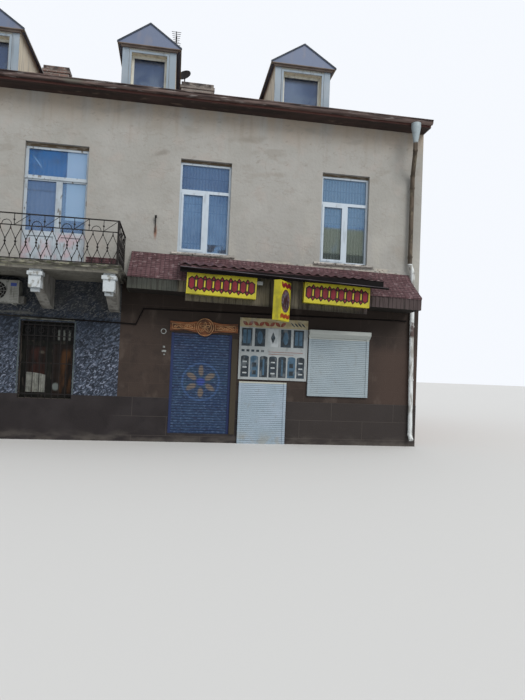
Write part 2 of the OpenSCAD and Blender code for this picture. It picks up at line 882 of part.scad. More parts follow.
// Console bracket: S-shaped body, block under a moulded cap, and a roll below it
module bracket(x) {
    top = slab_foot_z;
    block_foot = top - neck_h - cap_h - block_h;
    front = bracket_out - block_l;
    wall_z = top - bracket_h;
    roll = 90;
    along_x(x - bracket_w / 2 + 8, x + bracket_w / 2 - 8, concat(
        [for (i = [0:12]) [
            -front * (1 - i / 12) - facing_t * i / 12,
            block_foot - (block_foot - wall_z) * (1 - cos(180 * i / 12)) / 2
        ]],
        [[-facing_t, top], [-front, top]]
    ));
    along_x(x - bracket_w / 2, x + bracket_w / 2, [
        [-front, block_foot], [-bracket_out, block_foot], [-bracket_out, top - neck_h - cap_h],
        [-bracket_out + 15, top], [-front, top]
    ]);
    box(x - bracket_w / 2 - 30, x + bracket_w / 2 + 30, -bracket_out - 30, -front + 30,
        top - neck_h - cap_h, top - neck_h);
    translate([x - bracket_w / 2 + 32, -front - block_l * 0.4, block_foot - roll / 2 + 8])
        rotate([0, 90, 0]) cylinder(d = roll, h = bracket_w - 64);
}

module balcony_brackets() {
    color("silver") placed() for (x = bracket_x) bracket(x);
}

// Heights in the railing, measured from the slab
rail_top_z = first_z + railing_h;
rail_mid_z = rail_top_z - frieze_h;
rail_foot_z = first_z + 35;
rail_h = 20;
knot_z = (rail_foot_z + rail_mid_z) / 2;
bar_reach = (rail_mid_z - rail_foot_z) / 2;
curve_steps = 8;

// Sideways sweep of a bar at a share t of the way from its knot to a rail
function sweep(gap, t) = gap / 4 * (1 - cos(180 * t));
// Half of the bar's width across, wider where the bar leans
function lean(gap, t) =
    iron_t / 2 * sqrt(1 + pow(gap / 4 * PI * sin(180 * t) / bar_reach, 2));

// Cell over a knot (side 1) or under it (side -1), a bell between two bars
function bell(gap, side) = let (
    ts = [for (i = [1:curve_steps]) i / curve_steps],
    pts = [for (t = ts) if (sweep(gap, t) > lean(gap, t))
        [sweep(gap, t) - lean(gap, t), knot_z + side * t * bar_reach]]
) concat([for (p = pts) p], [for (i = [len(pts) - 1:-1:0]) [-pts[i][0], pts[i][1]]]);

// Eye-shaped cell between two knots
function eye(gap) = let (
    n = curve_steps,
    pts = [for (i = [-n:n]) let (t = abs(i) / n, half = gap / 2 - sweep(gap, t) - lean(gap, t))
        if (half > 0) [half, knot_z + i / n * bar_reach]]
) concat([for (p = pts) p], [for (i = [len(pts) - 1:-1:0]) [-pts[i][0], pts[i][1]]]);

// Lattice of one side between its rails, from x = 0 to l
module lattice(l) {
    knots = max(2, round(l / knot_gap));
    gap = l / knots;
    difference() {
        translate([0, rail_foot_z - rail_h]) square([l, rail_mid_z - rail_foot_z + 2 * rail_h]);
        intersection() {
            translate([iron_t, rail_foot_z]) square([l - 2 * iron_t, rail_mid_z - rail_foot_z]);
            union() {
                for (i = [0:knots]) translate([i * gap, 0]) {
                    polygon(bell(gap, 1));
                    polygon(bell(gap, -1));
                }
                for (i = [0:knots - 1]) translate([(i + 0.5) * gap, 0]) polygon(eye(gap));
            }
        }
    }
}

// Frieze over the lattice: uprights with leaf bosses, raking bars and scrolls
module frieze(l) {
    panels = max(2, round(l / 290));
    step = l / panels;
    foot = rail_mid_z + rail_h;
    h = rail_top_z - foot - rail_h;
    boss = 42;
    scroll_r = step * 0.3;
    for (i = [0:panels]) {
        x = min(max(i * step, iron_t / 2), l - iron_t / 2);
        translate([x - iron_t / 2, foot]) square([iron_t, h]);
    }
    for (i = [1:panels - 1]) translate([i * step, foot + h * 0.45]) circle(d = boss, $fn = 8);
    for (i = [0:panels - 1]) translate([i * step, foot]) {
        if (i % 2 == 0) polygon([[0, 0], [iron_t * 1.2, 0], [step, h], [step - iron_t * 1.2, h]]);
        else intersection() {
            square([step, h]);
            translate([step / 2, 0]) difference() {
                circle(r = scroll_r + iron_t, $fn = 12);
                circle(r = scroll_r, $fn = 12);
            }
        }
    }
}

// One side of the railing along +X from 0 to l, with a ball at each knot
module railing(l) {
    knots = max(2, round(l / knot_gap));
    ball = 46;
    translate([0, iron_t / 2, 0]) rotate([90, 0, 0]) linear_extrude(iron_t) {
        lattice(l);
        frieze(l);
    }
    for (i = [1:knots - 1]) translate([i * l / knots, 0, knot_z]) sphere(d = ball, $fn = 16);
    translate([0, -post_w / 2, rail_top_z - rail_h]) cube([l, post_w, rail_h]);
}

railing_in = 80;
rail_x0 = slab_x0 + railing_in;
rail_x1 = slab_x1 - railing_in;
rail_y = -balcony_out + railing_in;

module railing_front() {
    color("dimgray") placed() translate([0, rail_y, 0]) {
        translate([rail_x0 + post_w / 2, 0, 0]) railing(rail_x1 - rail_x0 - post_w);
        for (x = [rail_x0, rail_x1]) translate([x - post_w / 2, -post_w / 2, first_z])
            cube([post_w, post_w, railing_h]);
    }
}

module railing_side(x) {
    placed() translate([x, rail_y + post_w / 2, 0]) rotate(90) railing(-rail_y - post_w / 2);
}

module railing_left() {
    color("dimgray") railing_side(rail_x0);
}

module railing_right() {
    color("dimgray") railing_side(rail_x1);
}

// Low open planter in the balcony's front right corner
module balcony_box() {
    w = 580;
    d = 240;
    h = 150;
    sheet = 12;
    x1 = rail_x1 - 45;
    y0 = rail_y + 40;
    color("maroon") placed() difference() {
        box(x1 - w, x1, y0, y0 + d, first_z, first_z + h);
        box(x1 - w + sheet, x1 - sheet, y0 + sheet, y0 + d - sheet, first_z + 40, first_z + h + 10);
    }
}

module plinth() {
    color("dimgray") placed() difference() {
        box(-half_w, half_w, -plinth_t, 0, 0, plinth_z);
        ground_openings();
    }
}

module stone_facing() {
    color("darkslategray") placed() difference() {
        box(-half_w, brown_x, -facing_t, 0, plinth_z, slab_foot_z);
        ground_openings();
    }
}

module brown_facing() {
    color("saddlebrown") placed() difference() {
        box(brown_x, half_w, -facing_t, 0, plinth_z, slab_foot_z);
        ground_openings();
    }
}

// Barred windows with panes, and a thin pale strip over each opening
module barred_windows() {
    set = window_set + 60;
    bar_z = barred_head_z - 450;
    strip_h = 66;
    color("white") placed() for (x = barred_windows_x) {
        t_window(x, barred_w, barred_foot_z, barred_head_z, bar_z, set);
        t_panes(x, barred_w, barred_foot_z, barred_head_z, bar_z, set);
        box(x - barred_w / 2 - 5, x + barred_w / 2 + 5, -facing_t - 10, -facing_t,
            barred_head_z + 30, barred_head_z + 30 + strip_h);
    }
}

// Upright bars through three flats, with a row of hoops under the top flat
module window_grilles() {
    bars = 9;
    bar = 14;
    flat = 22;
    pitch = (barred_w - bar) / (bars - 1);
    y0 = 20;
    h = barred_head_z - barred_foot_z;
    color("black") placed() for (x = barred_windows_x) translate([x - barred_w / 2, y0, 0]) {
        for (i = [0:bars - 1]) translate([i * pitch, 0, barred_foot_z]) cube([bar, bar, h]);
        for (z = [barred_foot_z + 90, barred_foot_z + h * 0.45, barred_head_z - 330, barred_head_z - 90])
            translate([0, 0, z]) cube([barred_w, bar, flat]);
        for (i = [0:2:bars - 2]) translate([(i + 1) * pitch + bar / 2, bar, barred_head_z - 200])
            rotate([90, 0, 0]) linear_extrude(bar) difference() {
                circle(r = 62, $fn = 12);
                circle(r = 50, $fn = 12);
            }
    }
}

// Side of a shutter's curtain seen from its end, from z0 up to z1, facing -Y at y0
function slats(z0, z1, y0, depth, pitch) = let (n = round((z1 - z0) / pitch), s = (z1 - z0) / n)
    concat(
        [for (i = [0:n - 1]) for (p = [[6, 0], [0, 0.14], [0, 0.8], [6, 0.9]])
            [y0 + p[0], z0 + (i + p[1]) * s]],
        [[y0 + 6, z1], [y0 + depth, z1], [y0 + depth, z0]]
    );

guide = 60;

// Roller shutter with side guides from y0 to y1 and a bar along its foot
module shutter(x, w, z0, z1, y0, y1, pitch) {
    bar = 70;
    for (s = [-1, 1])
        box(x + s * (w - guide) / 2 - guide / 2, x + s * (w - guide) / 2 + guide / 2, y0, y1, z0, z1);
    along_x(x - w / 2 + guide, x + w / 2 - guide, slats(z0 + bar, z1, y0 + 14, 16, pitch));
    box(x - w / 2 + guide, x + w / 2 - guide, y0 + 8, y0 + 34, z0, z0 + bar);
}

module door_shutter() {
    color("royalblue") placed()
        shutter(shop_door_x, shop_door_w, ground_z, door_head_z, -10, 50, door_slat);
}

shutter_t = 55;

module hatch_shutter() {
    top_z = hatch_head_z + 70;
    color("white") placed() {
        shutter(hatch_x, hatch_w + 2 * guide, 0, top_z, -plinth_t - shutter_t, -plinth_t, white_slat);
    }
}

// Shutter over the shop window with its coil box, chamfered below its front
module window_shutter() {
    foot_z = shop_window_foot_z - 50;
    top_z = shop_window_head_z + 38;
    box_h = 176;
    half = shop_window_w / 2 + 54;
    y1 = -facing_t;
    color("white") placed() {
        shutter(shop_window_x, 2 * half, foot_z, top_z, y1 - shutter_t, y1, white_slat);
        along_x(shop_window_x - half - 10, shop_window_x + half + 10, [
            [y1, top_z], [y1 - shutter_t - 10, top_z], [y1 - shutter_box_out, top_z + 90],
            [y1 - shutter_box_out, top_z + box_h], [y1, top_z + box_h]
        ]);
    }
}

board_left = 40;
board_right = 117;
board_x0 = shop_door_x - shop_door_w / 2 - board_left;
board_x1 = shop_door_x + shop_door_w / 2 + board_right;
board_x = (board_x0 + board_x1) / 2 + 14;
board_z = door_head_z + 148;

// Half height of the board at a distance from its roundel
function board_half(u) = 92 + 62 * pow(cos(90 * min(1, u / 420)), 2) + 18 * pow(u / 780, 4);

// Outline of the board with scooped ends, inset all round
function board_outline(inset) = let (
    x0 = board_x0 + inset,
    x1 = board_x1 - inset,
    n = 20,
    xs = [for (i = [0:n]) x0 + (x1 - x0) * i / n]
) concat(
    [for (x = xs) [x, board_z - board_half(abs(x - board_x)) + inset]],
    [for (i = [n:-1:0]) [xs[i], board_z + board_half(abs(xs[i] - board_x)) - inset]]
);

// Shaped board with a raised rim and roundel, and the strip beside the door
module door_board() {
    board_t = 24;
    rim = 26;
    rim_t = 10;
    y = -facing_t - board_t;
    color("peru") placed() {
        along_y(y, -facing_t, board_outline(0));
        translate([0, y, 0]) rotate([90, 0, 0]) linear_extrude(rim_t) difference() {
            polygon(board_outline(0));
            polygon(board_outline(rim));
        }
        translate([board_x, -facing_t, board_z]) rotate([90, 0, 0]) {
            cylinder(r = roundel_r, h = board_t + 4, $fn = 48);
            difference() {
                cylinder(r = roundel_r, h = board_t + rim_t + 8, $fn = 48);
                cylinder(r = roundel_r - rim, h = board_t + rim_t + 20, $fn = 48);
            }
        }
        box(shop_door_x + shop_door_w / 2, shop_door_x + shop_door_w / 2 + strip_w,
            -plinth_t - 12, -plinth_t, ground_z, door_head_z - 90);
    }
}

// Printed panel in a thin frame, with two ledges across
module poster_panel() {
    x0 = hatch_x + 225 - poster_w / 2;
    x1 = x0 + poster_w;
    z0 = hatch_head_z + 118;
    z1 = z0 + poster_h;
    panel_t = 20;
    rim = 24;
    y = -facing_t - panel_t;
    color("ivory") placed() {
        box(x0, x1, y, -facing_t, z0, z1);
        difference() {
            box(x0, x1, y - 10, y, z0, z1);
            box(x0 + rim, x1 - rim, y - 20, y + 10, z0 + rim, z1 - rim);
        }
        for (z = [z0 + poster_h * 0.44, z0 + poster_h * 0.84])
            box(x0 + rim, x1 - rim, y - 6, y, z, z + 16);
    }
}

// Turns what hangs on the canopy down to the right
module canopy_frame() {
    placed() translate([canopy_x, 0, canopy_eave_z]) rotate([0, canopy_sag, 0])
        translate([0, 0, -canopy_eave_z]) children();
}

// Sheet roof pressed into courses, each stepping down to the next, with a wall flashing
module canopy_roof() {
    step = 14;
    flashing = 40;
    under = [[0, canopy_wall_z - canopy_t], [-canopy_out, canopy_eave_z - canopy_t]];
    color("maroon") canopy_frame() {
        along_x(-canopy_w / 2, canopy_w / 2, concat(under, [
            for (i = [courses - 1:-1:0]) for (k = [1, 0]) let (out = canopy_out * (i + k) / courses)
                [-out, canopy_z(out) - step * (1 - k)]
        ]));
        along_x(-canopy_w / 2, canopy_w / 2, [
            [0, canopy_wall_z - canopy_t], [-150, canopy_z(150) - canopy_t],
            [-150, canopy_z(150) + 12], [-20, canopy_wall_z + flashing], [0, canopy_wall_z + flashing]
        ]);
    }
}

awning_in = 175;
awning_wall_z = canopy_z(awning_in) + 14;
awning_run = awning_out - awning_in;
awning_tilt = atan((awning_wall_z - awning_front_z) / awning_run);
awning_x0 = -canopy_w / 2 + 1100;
awning_x1 = awning_x0 + awning_w;
panel_out = canopy_out + 30;
panel_edge = 8;
sign_left_x = awning_x0 + awning_w * 0.2022;
sign_right_x = awning_x0 + awning_w * 0.774;
panel_x0 = sign_left_x - sign_w / 2 - panel_edge;
panel_x1 = sign_right_x + sign_w / 2 + panel_edge;
function awning_under_z(out) = awning_front_z + (awning_out - out) * tan(awning_tilt);

// Outline of a ribbed sheet seen from above, ribs towards the street
function rib_outline(x0, x1, y, depth) = let (n = round((x1 - x0) / rib_gap), s = (x1 - x0) / n)
    concat(
        [for (i = [0:n - 1]) for (p = [[0, 0], [0.12, -depth], [0.4, -depth], [0.52, 0]])
            [x0 + (i + p[0]) * s, y + p[1]]],
        [[x1, y], [x1, y + 10], [x0, y + 10]]
    );

// Ribbed sheets under the eave and across the middle, and the cheeks at both ends
module canopy_fascia() {
    rib = 12;
    cheek = 20;
    sheet_y = -canopy_out + 20;
    side_top = canopy_z(canopy_out) - canopy_t;
    color("gray") canopy_frame() {
        for (e = [[-canopy_w / 2, panel_x0], [panel_x1, canopy_w / 2]])
            translate([0, 0, canopy_soffit_z]) linear_extrude(side_top - canopy_soffit_z)
                polygon(rib_outline(e[0], e[1], sheet_y, rib));
        difference() {
            translate([0, 0, panel_foot_z])
                linear_extrude(awning_under_z(panel_out) - 4 - panel_foot_z)
                    polygon(rib_outline(panel_x0, panel_x1, -panel_out, rib));
            box(panel_x0 - 1, panel_x1 + 1, -panel_out - 50, -panel_out - 0.01,
                awning_under_z(panel_out) - 30, awning_under_z(0));
        }
        for (x = [-canopy_w / 2, canopy_w / 2 - cheek])
            along_x(x, x + cheek, [
                [sheet_y + 10, canopy_soffit_z], [-facing_t, canopy_soffit_z],
                [-facing_t, slab_foot_z - 100], [-facing_t, canopy_z(facing_t) - canopy_t - 20],
                [sheet_y + 10, canopy_z(canopy_out - 30) - canopy_t - 20]
            ]);
    }
}

module canopy_soffit() {
    cheek = 20;
    color("gray") canopy_frame()
        box(-canopy_w / 2 + cheek, canopy_w / 2 - cheek, -canopy_out + 30, -facing_t,
            canopy_soffit_z, canopy_soffit_z + 25);
}

// Waved sheet on its own slope, with a board under its front edge
module raised_awning() {
    sheet = 6;
    board_t = 25;
    waves = round(awning_w / wave_gap);
    n = waves * 8;
    length = awning_run / cos(awning_tilt);
    xs = [for (i = [0:n]) awning_x0 + awning_w * i / n];
    lift = [for (i = [0:n]) wave_h / 2 * (1 - cos(360 * i / 8))];
    color("maroon") canopy_frame() {
        translate([0, -awning_out, awning_front_z]) rotate([awning_tilt, 0, 0])
            translate([0, length, 0]) rotate([90, 0, 0]) linear_extrude(length) polygon(concat(
                [for (i = [0:n]) [xs[i], lift[i]]],
                [for (i = [n:-1:0]) [xs[i], lift[i] + sheet]]
            ));
        box(awning_x0, awning_x1, -awning_out + 20, -awning_out + 20 + board_t,
            awning_front_z - 150, awning_front_z + 4);
    }
}

// Half-round gutter hung on the awning's board, falling to the right
module canopy_gutter() {
    r = 36;
    sheet = 5;
    l = awning_w + 110;
    color("saddlebrown") canopy_frame()
        translate([awning_x0, -awning_out + 20 - r, awning_front_z - 48]) rotate([0, 90 + gutter_fall, 0])
            difference() {
                cylinder(r = r, h = l);
                translate([0, 0, sheet]) cylinder(r = r - sheet, h = l - 2 * sheet);
                translate([-2 * r, -r - 1, -1]) cube([2 * r, 2 * r + 2, l + 2]);
            }
}

// Sign boxes with a sunk face in a narrow rim
module sign(x) {
    rim = 22;
    y0 = -panel_out - 12 - sign_t;
    half = sign_w / 2;
    canopy_frame() translate([x, 0, sign_z]) rotate([0, sign_sag, 0]) difference() {
        box(-half, half, y0, y0 + sign_t, -sign_h / 2, sign_h / 2);
        box(-half + rim, half - rim, y0 - 10, y0 + 8, -sign_h / 2 + rim, sign_h / 2 - rim);
    }
}

sign_z = panel_foot_z + 366;
blade_x = awning_x0 + awning_w * 0.5379;
blade_foot_z = panel_foot_z - 310;

module shop_signs() {
    color("gold") {
        sign(sign_left_x);
        sign(sign_right_x);
    }
}

// Box sign turned across the pavement, on two flat arms from the ribbed sheet
module hanging_sign() {
    arm_t = 30;
    color("gold") canopy_frame() intersection() {
        translate([blade_x, -panel_out, 0]) rotate(-blade_turn) {
            box(-blade_t / 2, blade_t / 2, -blade_l - 75, -75, blade_foot_z, blade_foot_z + blade_h);
            for (z = [0.47, 0.89]) box(-arm_t / 2, arm_t / 2, -100, 100,
                blade_foot_z + z * blade_h, blade_foot_z + z * blade_h + arm_t);
        }
        box(-canopy_w / 2, canopy_w / 2, -3000, -panel_out - 12, 2000, 5000);
    }
}

// Thin pipe along the facings that steps up beside the shop door, held by clips
module wall_pipe() {
    $fn = 12;
    d = 28;
    y = -facing_t - 28;
    rise_x = board_x0 - 611;
    points = [
        [-half_w + 475, y, door_head_z + 260], [rise_x - 500, y, door_head_z + 150],
        [rise_x - 160, y, door_head_z + 140], [rise_x, y, canopy_soffit_z - 300],
        [half_w - 340, y, canopy_soffit_z - 250]
    ];
    color("saddlebrown") placed() {
        for (i = [0:len(points) - 2]) pipe(points[i], points[i + 1], d);
        for (p = points) translate([p[0], -facing_t, p[2]]) rotate([90, 0, 0]) cylinder(d = 36, h = 44);
    }
}

// Outdoor unit on two wall arms, with a ringed guard over its fan and a valve cover
module air_conditioner() {
    w = 800;
    h = 485;
    d = 290;
    foot_z = 2945;
    x0 = balcony_door_x - 1365;
    y0 = -facing_t - d - 20;
    fan_r = 200;
    guard_t = 6;
    color("white") placed() {
        difference() {
            box(x0, x0 + w, y0, y0 + d, foot_z, foot_z + h);
            translate([x0 + 350, y0 + 60, foot_z + 255]) rotate([90, 0, 0]) cylinder(r = fan_r, h = 100);
        }
        translate([x0 + 350, y0 + 60, foot_z + 255]) rotate([90, 0, 0]) {
            cylinder(d = 110, h = 50);
            for (r = [90, 145, 195]) difference() {
                cylinder(r = r + 5, h = 58 + guard_t);
                translate([0, 0, -1]) cylinder(r = r, h = 80);
                cylinder(r = r + 6, h = 58);
            }
            for (a = [0:30:150]) rotate(a) translate([-fan_r - 3, -3, 58 - guard_t])
                cube([2 * fan_r + 6, 6, guard_t * 2]);
        }
        box(x0 + w, x0 + w + 100, y0 + 60, y0 + d - 40, foot_z + 5, foot_z + 155);
        for (x = [x0 + 110, x0 + w - 140]) {
            box(x, x + 30, y0 + 20, -facing_t, foot_z - 30, foot_z);
            box(x, x + 30, -facing_t - 20, -facing_t, foot_z, foot_z + 300);
        }
    }
}

// Windows of the back, as in the front, with plain sills
module back_windows() {
    bar_z = back_head_z - 450;
    color("white") placed() at_back() {
        for (x = back_x) {
            t_window(x, window_w, window_foot_z, window_head_z, window_bar_z, window_set);
            t_panes(x, window_w, window_foot_z, window_head_z, window_bar_z, window_set);
        }
        for (x = back_low_x) {
            t_window(x, window_w, back_foot_z, back_head_z, bar_z, window_set);
            t_panes(x, window_w, back_foot_z, back_head_z, bar_z, window_set);
        }
    }
}

// Plank door in a frame
module back_door() {
    frame = 60;
    planks = 6;
    w = back_door_w - 2 * frame;
    head = ground_z + back_door_h - frame;
    x0 = window_middle_x - back_door_w / 2 + frame;
    color("sienna") placed() at_back() {
        difference() {
            box(x0 - frame, x0 + w + frame, window_set, window_set + 80, ground_z, head + frame);
            box(x0, x0 + w, window_set - 10, window_set + 90, ground_z - 10, head);
        }
        box(x0, x0 + w, window_set + 20, window_set + 60, ground_z, head);
        for (i = [0:planks - 1]) box(x0 + i * w / planks + 4, x0 + (i + 1) * w / planks - 4,
            window_set + 8, window_set + 20, ground_z + 10, head - 5);
    }
}

front_wall_ground();
front_wall_upper();
party_wall_left();
party_wall_right();
back_wall_ground();
back_wall_upper();
ground_floor();
first_floor();
attic_floor();
roof_front();
roof_back();
ridge_cap();
eaves_boxes();
roof_gutters();
front_downpipe();
back_downpipe();
dormer_bodies();
dormer_roofs();
dormer_windows();
chimneys();
aerial();
satellite_dish();
upper_windows();
window_panes();
window_trims();
balcony_door();
balcony_slab();
balcony_brackets();
railing_front();
railing_left();
railing_right();
balcony_box();
plinth();
stone_facing();
brown_facing();
barred_windows();
window_grilles();
door_shutter();
hatch_shutter();
window_shutter();
door_board();
poster_panel();
canopy_roof();
canopy_fascia();
canopy_soffit();
raised_awning();
canopy_gutter();
shop_signs();
hanging_sign();
wall_pipe();
air_conditioner();
back_windows();
back_door();
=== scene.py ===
import math
import random

import bpy
from mathutils import Matrix, Vector


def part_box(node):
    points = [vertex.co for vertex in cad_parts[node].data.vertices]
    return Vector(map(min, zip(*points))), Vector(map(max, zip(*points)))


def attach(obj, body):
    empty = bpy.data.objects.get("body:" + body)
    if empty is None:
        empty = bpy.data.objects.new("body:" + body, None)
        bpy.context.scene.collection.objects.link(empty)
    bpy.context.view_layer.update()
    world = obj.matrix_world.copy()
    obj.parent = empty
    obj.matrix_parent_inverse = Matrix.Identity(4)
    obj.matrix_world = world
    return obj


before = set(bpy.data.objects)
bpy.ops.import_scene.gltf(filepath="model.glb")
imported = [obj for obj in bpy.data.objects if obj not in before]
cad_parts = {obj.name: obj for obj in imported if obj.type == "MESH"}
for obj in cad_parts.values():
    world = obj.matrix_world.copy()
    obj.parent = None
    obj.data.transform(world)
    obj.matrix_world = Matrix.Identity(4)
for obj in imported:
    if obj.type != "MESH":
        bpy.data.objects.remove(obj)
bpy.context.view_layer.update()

# The camera stands across the street at eye height, turned a little to the right,
# tipped up slightly and held a little crooked, as the photograph was taken.
def put(name, data):
    """A new object in the scene."""
    made = bpy.data.objects.new(name, data)
    bpy.context.scene.collection.objects.link(made)
    return made


eye = Vector((1.031, -17.801, 1.785))
yaw, pitch, roll = math.radians(9.168), math.radians(1.753), math.radians(2.336)
lens_pixels = 560.16
long_side = 700

forward = Vector((math.sin(yaw) * math.cos(pitch), math.cos(yaw) * math.cos(pitch), math.sin(pitch)))
level_right = Vector((math.cos(yaw), -math.sin(yaw), 0))
level_up = level_right.cross(forward)
right = level_right * math.cos(roll) + level_up * math.sin(roll)
up = level_up * math.cos(roll) - level_right * math.sin(roll)
camera_data = bpy.data.cameras.new("street_camera")
camera_data.lens = lens_pixels / long_side * camera_data.sensor_width
camera_data.clip_end = 200
camera = put("street_camera", camera_data)
camera.matrix_world = Matrix.Translation(eye) @ Matrix((right, up, -forward)).transposed().to_4x4()
bpy.context.scene.camera = camera


# Floor, backdrop light and lamps of the studio: a pale floor, a soft white surround
# and one broad lamp from the upper right in front of the house.
def hex_colour(code):
    values = [int(code[i:i + 2], 16) / 255 for i in (0, 2, 4)]
    return tuple(v / 12.92 if v <= 0.04045 else ((v + 0.055) / 1.055) ** 2.4 for v in values)


def feed(tree, value, socket):
    """Links a value to a socket, or sets it there."""
    if isinstance(value, bpy.types.NodeSocket):
        tree.links.new(value, socket)
    else:
        socket.default_value = (*value, 1) if socket.type == "RGBA" else value


def node(tree, kind, inputs=None, **settings):
    made = tree.nodes.new(kind if "Node" in kind else "ShaderNode" + kind)
    for key, value in settings.items():
        setattr(made, key, value)
    for key, value in (inputs or {}).items():
        feed(tree, value, made.inputs[key])
    return made


def calc(tree, operation, a, b):
    return node(tree, "Math", {0: a, 1: b}, operation=operation).outputs[0]


floor_mesh = bpy.data.meshes.new("studio_floor")
reach = 90
floor_mesh.from_pydata([(-reach, -reach, 0), (reach, -reach, 0), (reach, reach, 0), (-reach, reach, 0)],
                       [], [(0, 1, 2, 3)])
floor_paint = bpy.data.materials.new("studio_floor")
floor_paint.use_nodes = True
floor_look = floor_paint.node_tree.nodes["Principled BSDF"].inputs
feed(floor_paint.node_tree, (0.62, 0.62, 0.61), floor_look["Base Color"])
feed(floor_paint.node_tree, 0.9, floor_look["Roughness"])
floor_mesh.materials.append(floor_paint)
floor = put("studio_floor", floor_mesh)

bpy.context.scene.view_settings.view_transform = "Standard"
world = bpy.data.worlds.new("studio")
bpy.context.scene.world = world
world.use_nodes = True
sky = world.node_tree
sky.nodes.clear()
path = node(sky, "LightPath")
seen = calc(sky, "MAXIMUM", path.outputs["Is Camera Ray"], path.outputs["Is Glossy Ray"])
seen = calc(sky, "MAXIMUM", seen, path.outputs["Is Transmission Ray"])
surround = node(sky, "Background", {"Color": (0.93, 0.96, 1.0), "Strength": 0.77})
backdrop = node(sky, "Background", {"Color": (0.92, 0.95, 1.0), "Strength": 1.0})
both = node(sky, "MixShader", {0: seen, 1: surround.outputs[0], 2: backdrop.outputs[0]})
node(sky, "OutputWorld", {"Surface": both.outputs[0]})

lamp_data = bpy.data.lights.new("broad_lamp", "SUN")
lamp_data.energy = 1.95
lamp_data.angle = math.radians(30)
lamp_data.color = (1.0, 0.965, 0.92)
put("broad_lamp", lamp_data).rotation_euler = (math.radians(50), 0, math.radians(26))


# Upper front: old lime render on brick, cream once, now greyed, with cloudy patches,
# rain stains under the eaves and sills, a warm band under the eaves that is painted reflected light,
# hairline cracks and worn corners.
effects = {}


def effect(name, outputs=("Mask",), **inputs):
    """A mask made from the place on the object, as a group with named inputs."""
    tree = bpy.data.node_groups.new(name, "ShaderNodeTree")
    for label, value in inputs.items():
        kind = "Vector" if isinstance(value, tuple) else "Float"
        socket = tree.interface.new_socket(label, in_out="INPUT", socket_type="NodeSocket" + kind)
        socket.default_value = value
    for label in outputs:
        tree.interface.new_socket(label, in_out="OUTPUT", socket_type="NodeSocketFloat")
    effects[name] = tree
    return (tree, node(tree, "NodeGroupInput").outputs, node(tree, "NodeGroupOutput").inputs,
            node(tree, "TexCoord").outputs["Object"])


def ramp(tree, value, low, high):
    return node(tree, "MapRange", {"Value": value, "From Min": low, "From Max": high},
                interpolation_type="SMOOTHSTEP").outputs["Result"]


def vector(tree, operation, a, b=(0, 0, 0)):
    made = node(tree, "VectorMath", {0: a, 1: b}, operation=operation)
    return made.outputs["Value" if operation in ("DOT_PRODUCT", "LENGTH") else "Vector"]


def turned(tree, place, angle):
    return node(tree, "VectorRotate", {"Vector": place, "Angle": angle}, rotation_type="Y_AXIS").outputs[0]


def axes(tree, value):
    return node(tree, "SeparateXYZ", {0: value}).outputs


# Cloudy noise turned on the front, stretched along each axis and cut between two levels
tree, given, result, place = effect("grain", Stretch=(1, 1, 1), Detail=4, Low=0.4, High=0.6, Seed=0, Turn=0)
stretched = vector(tree, "MULTIPLY", turned(tree, place, given["Turn"]), given["Stretch"])
cloud = node(tree, "TexNoise", {"Vector": stretched, "W": given["Seed"], "Scale": 1.0,
                                "Detail": given["Detail"]}, noise_dimensions="4D")
tree.links.new(ramp(tree, cloud.outputs["Fac"], given["Low"], given["High"]), result["Mask"])

# Fade along one axis between two places
tree, given, result, place = effect("fade", Axis=(0, 0, 1), Start=0, End=1)
along = vector(tree, "DOT_PRODUCT", place, given["Axis"])
tree.links.new(ramp(tree, along, given["Start"], given["End"]), result["Mask"])

# Ragged round patch at one place
tree, given, result, place = effect("spot", Centre=(0, 0, 0), Shrink=(1, 1, 1), Ragged=0.5, Edge=0.5,
                                    Turn=0, Inner=-9)
apart = turned(tree, vector(tree, "SUBTRACT", place, given["Centre"]), given["Turn"])
far = vector(tree, "LENGTH", vector(tree, "MULTIPLY", apart, given["Shrink"]))
rag = node(tree, "TexNoise", {"Vector": place, "Scale": 5.0, "Detail": 5.0}).outputs["Fac"]
far = calc(tree, "ADD", far, calc(tree, "MULTIPLY", calc(tree, "SUBTRACT", rag, 0.5), given["Ragged"]))
hole = ramp(tree, far, calc(tree, "SUBTRACT", given["Inner"], given["Edge"]), given["Inner"])
disc = ramp(tree, far, 1.0, calc(tree, "SUBTRACT", 1.0, given["Edge"]))
tree.links.new(calc(tree, "MULTIPLY", disc, hole), result["Mask"])

# Plain box of space with slightly soft edges, from one corner to the other
tree, given, result, place = effect("block", Low=(0, 0, 0), High=(1, 1, 1), Soft=0.005)
inside = 1.0
for at, low, high in zip(axes(tree, place), axes(tree, given["Low"]), axes(tree, given["High"])):
    rise = ramp(tree, at, low, calc(tree, "ADD", low, given["Soft"]))
    fall = ramp(tree, at, high, calc(tree, "SUBTRACT", high, given["Soft"]))
    inside = calc(tree, "MULTIPLY", inside, calc(tree, "MULTIPLY", rise, fall))
tree.links.new(inside, result["Mask"])

# Joints of slabs or bricks on upright faces: the joint line and a shade for each slab
tree, given, result, place = effect("joints", ("Mask", "Tint"), Width=0.25, Height=0.075, Joint=0.01,
                                    Lift=0, Slide=0)
east, north, upward = axes(tree, place)
sideways = calc(tree, "ADD", calc(tree, "ADD", east, north), given["Slide"])
flat = node(tree, "CombineXYZ", {0: sideways, 1: calc(tree, "ADD", upward, given["Lift"])}).outputs[0]
laid = node(tree, "TexBrick", {
    "Vector": flat, "Scale": 1.0, "Brick Width": given["Width"], "Row Height": given["Height"],
    "Mortar Size": given["Joint"], "Mortar Smooth": 0.3, "Bias": 0.0,
    "Color1": (0, 0, 0), "Color2": (1, 1, 1), "Mortar": (0.5, 0.5, 0.5)})
tree.links.new(laid.outputs["Fac"], result["Mask"])
tree.links.new(laid.outputs["Color"], result["Tint"])

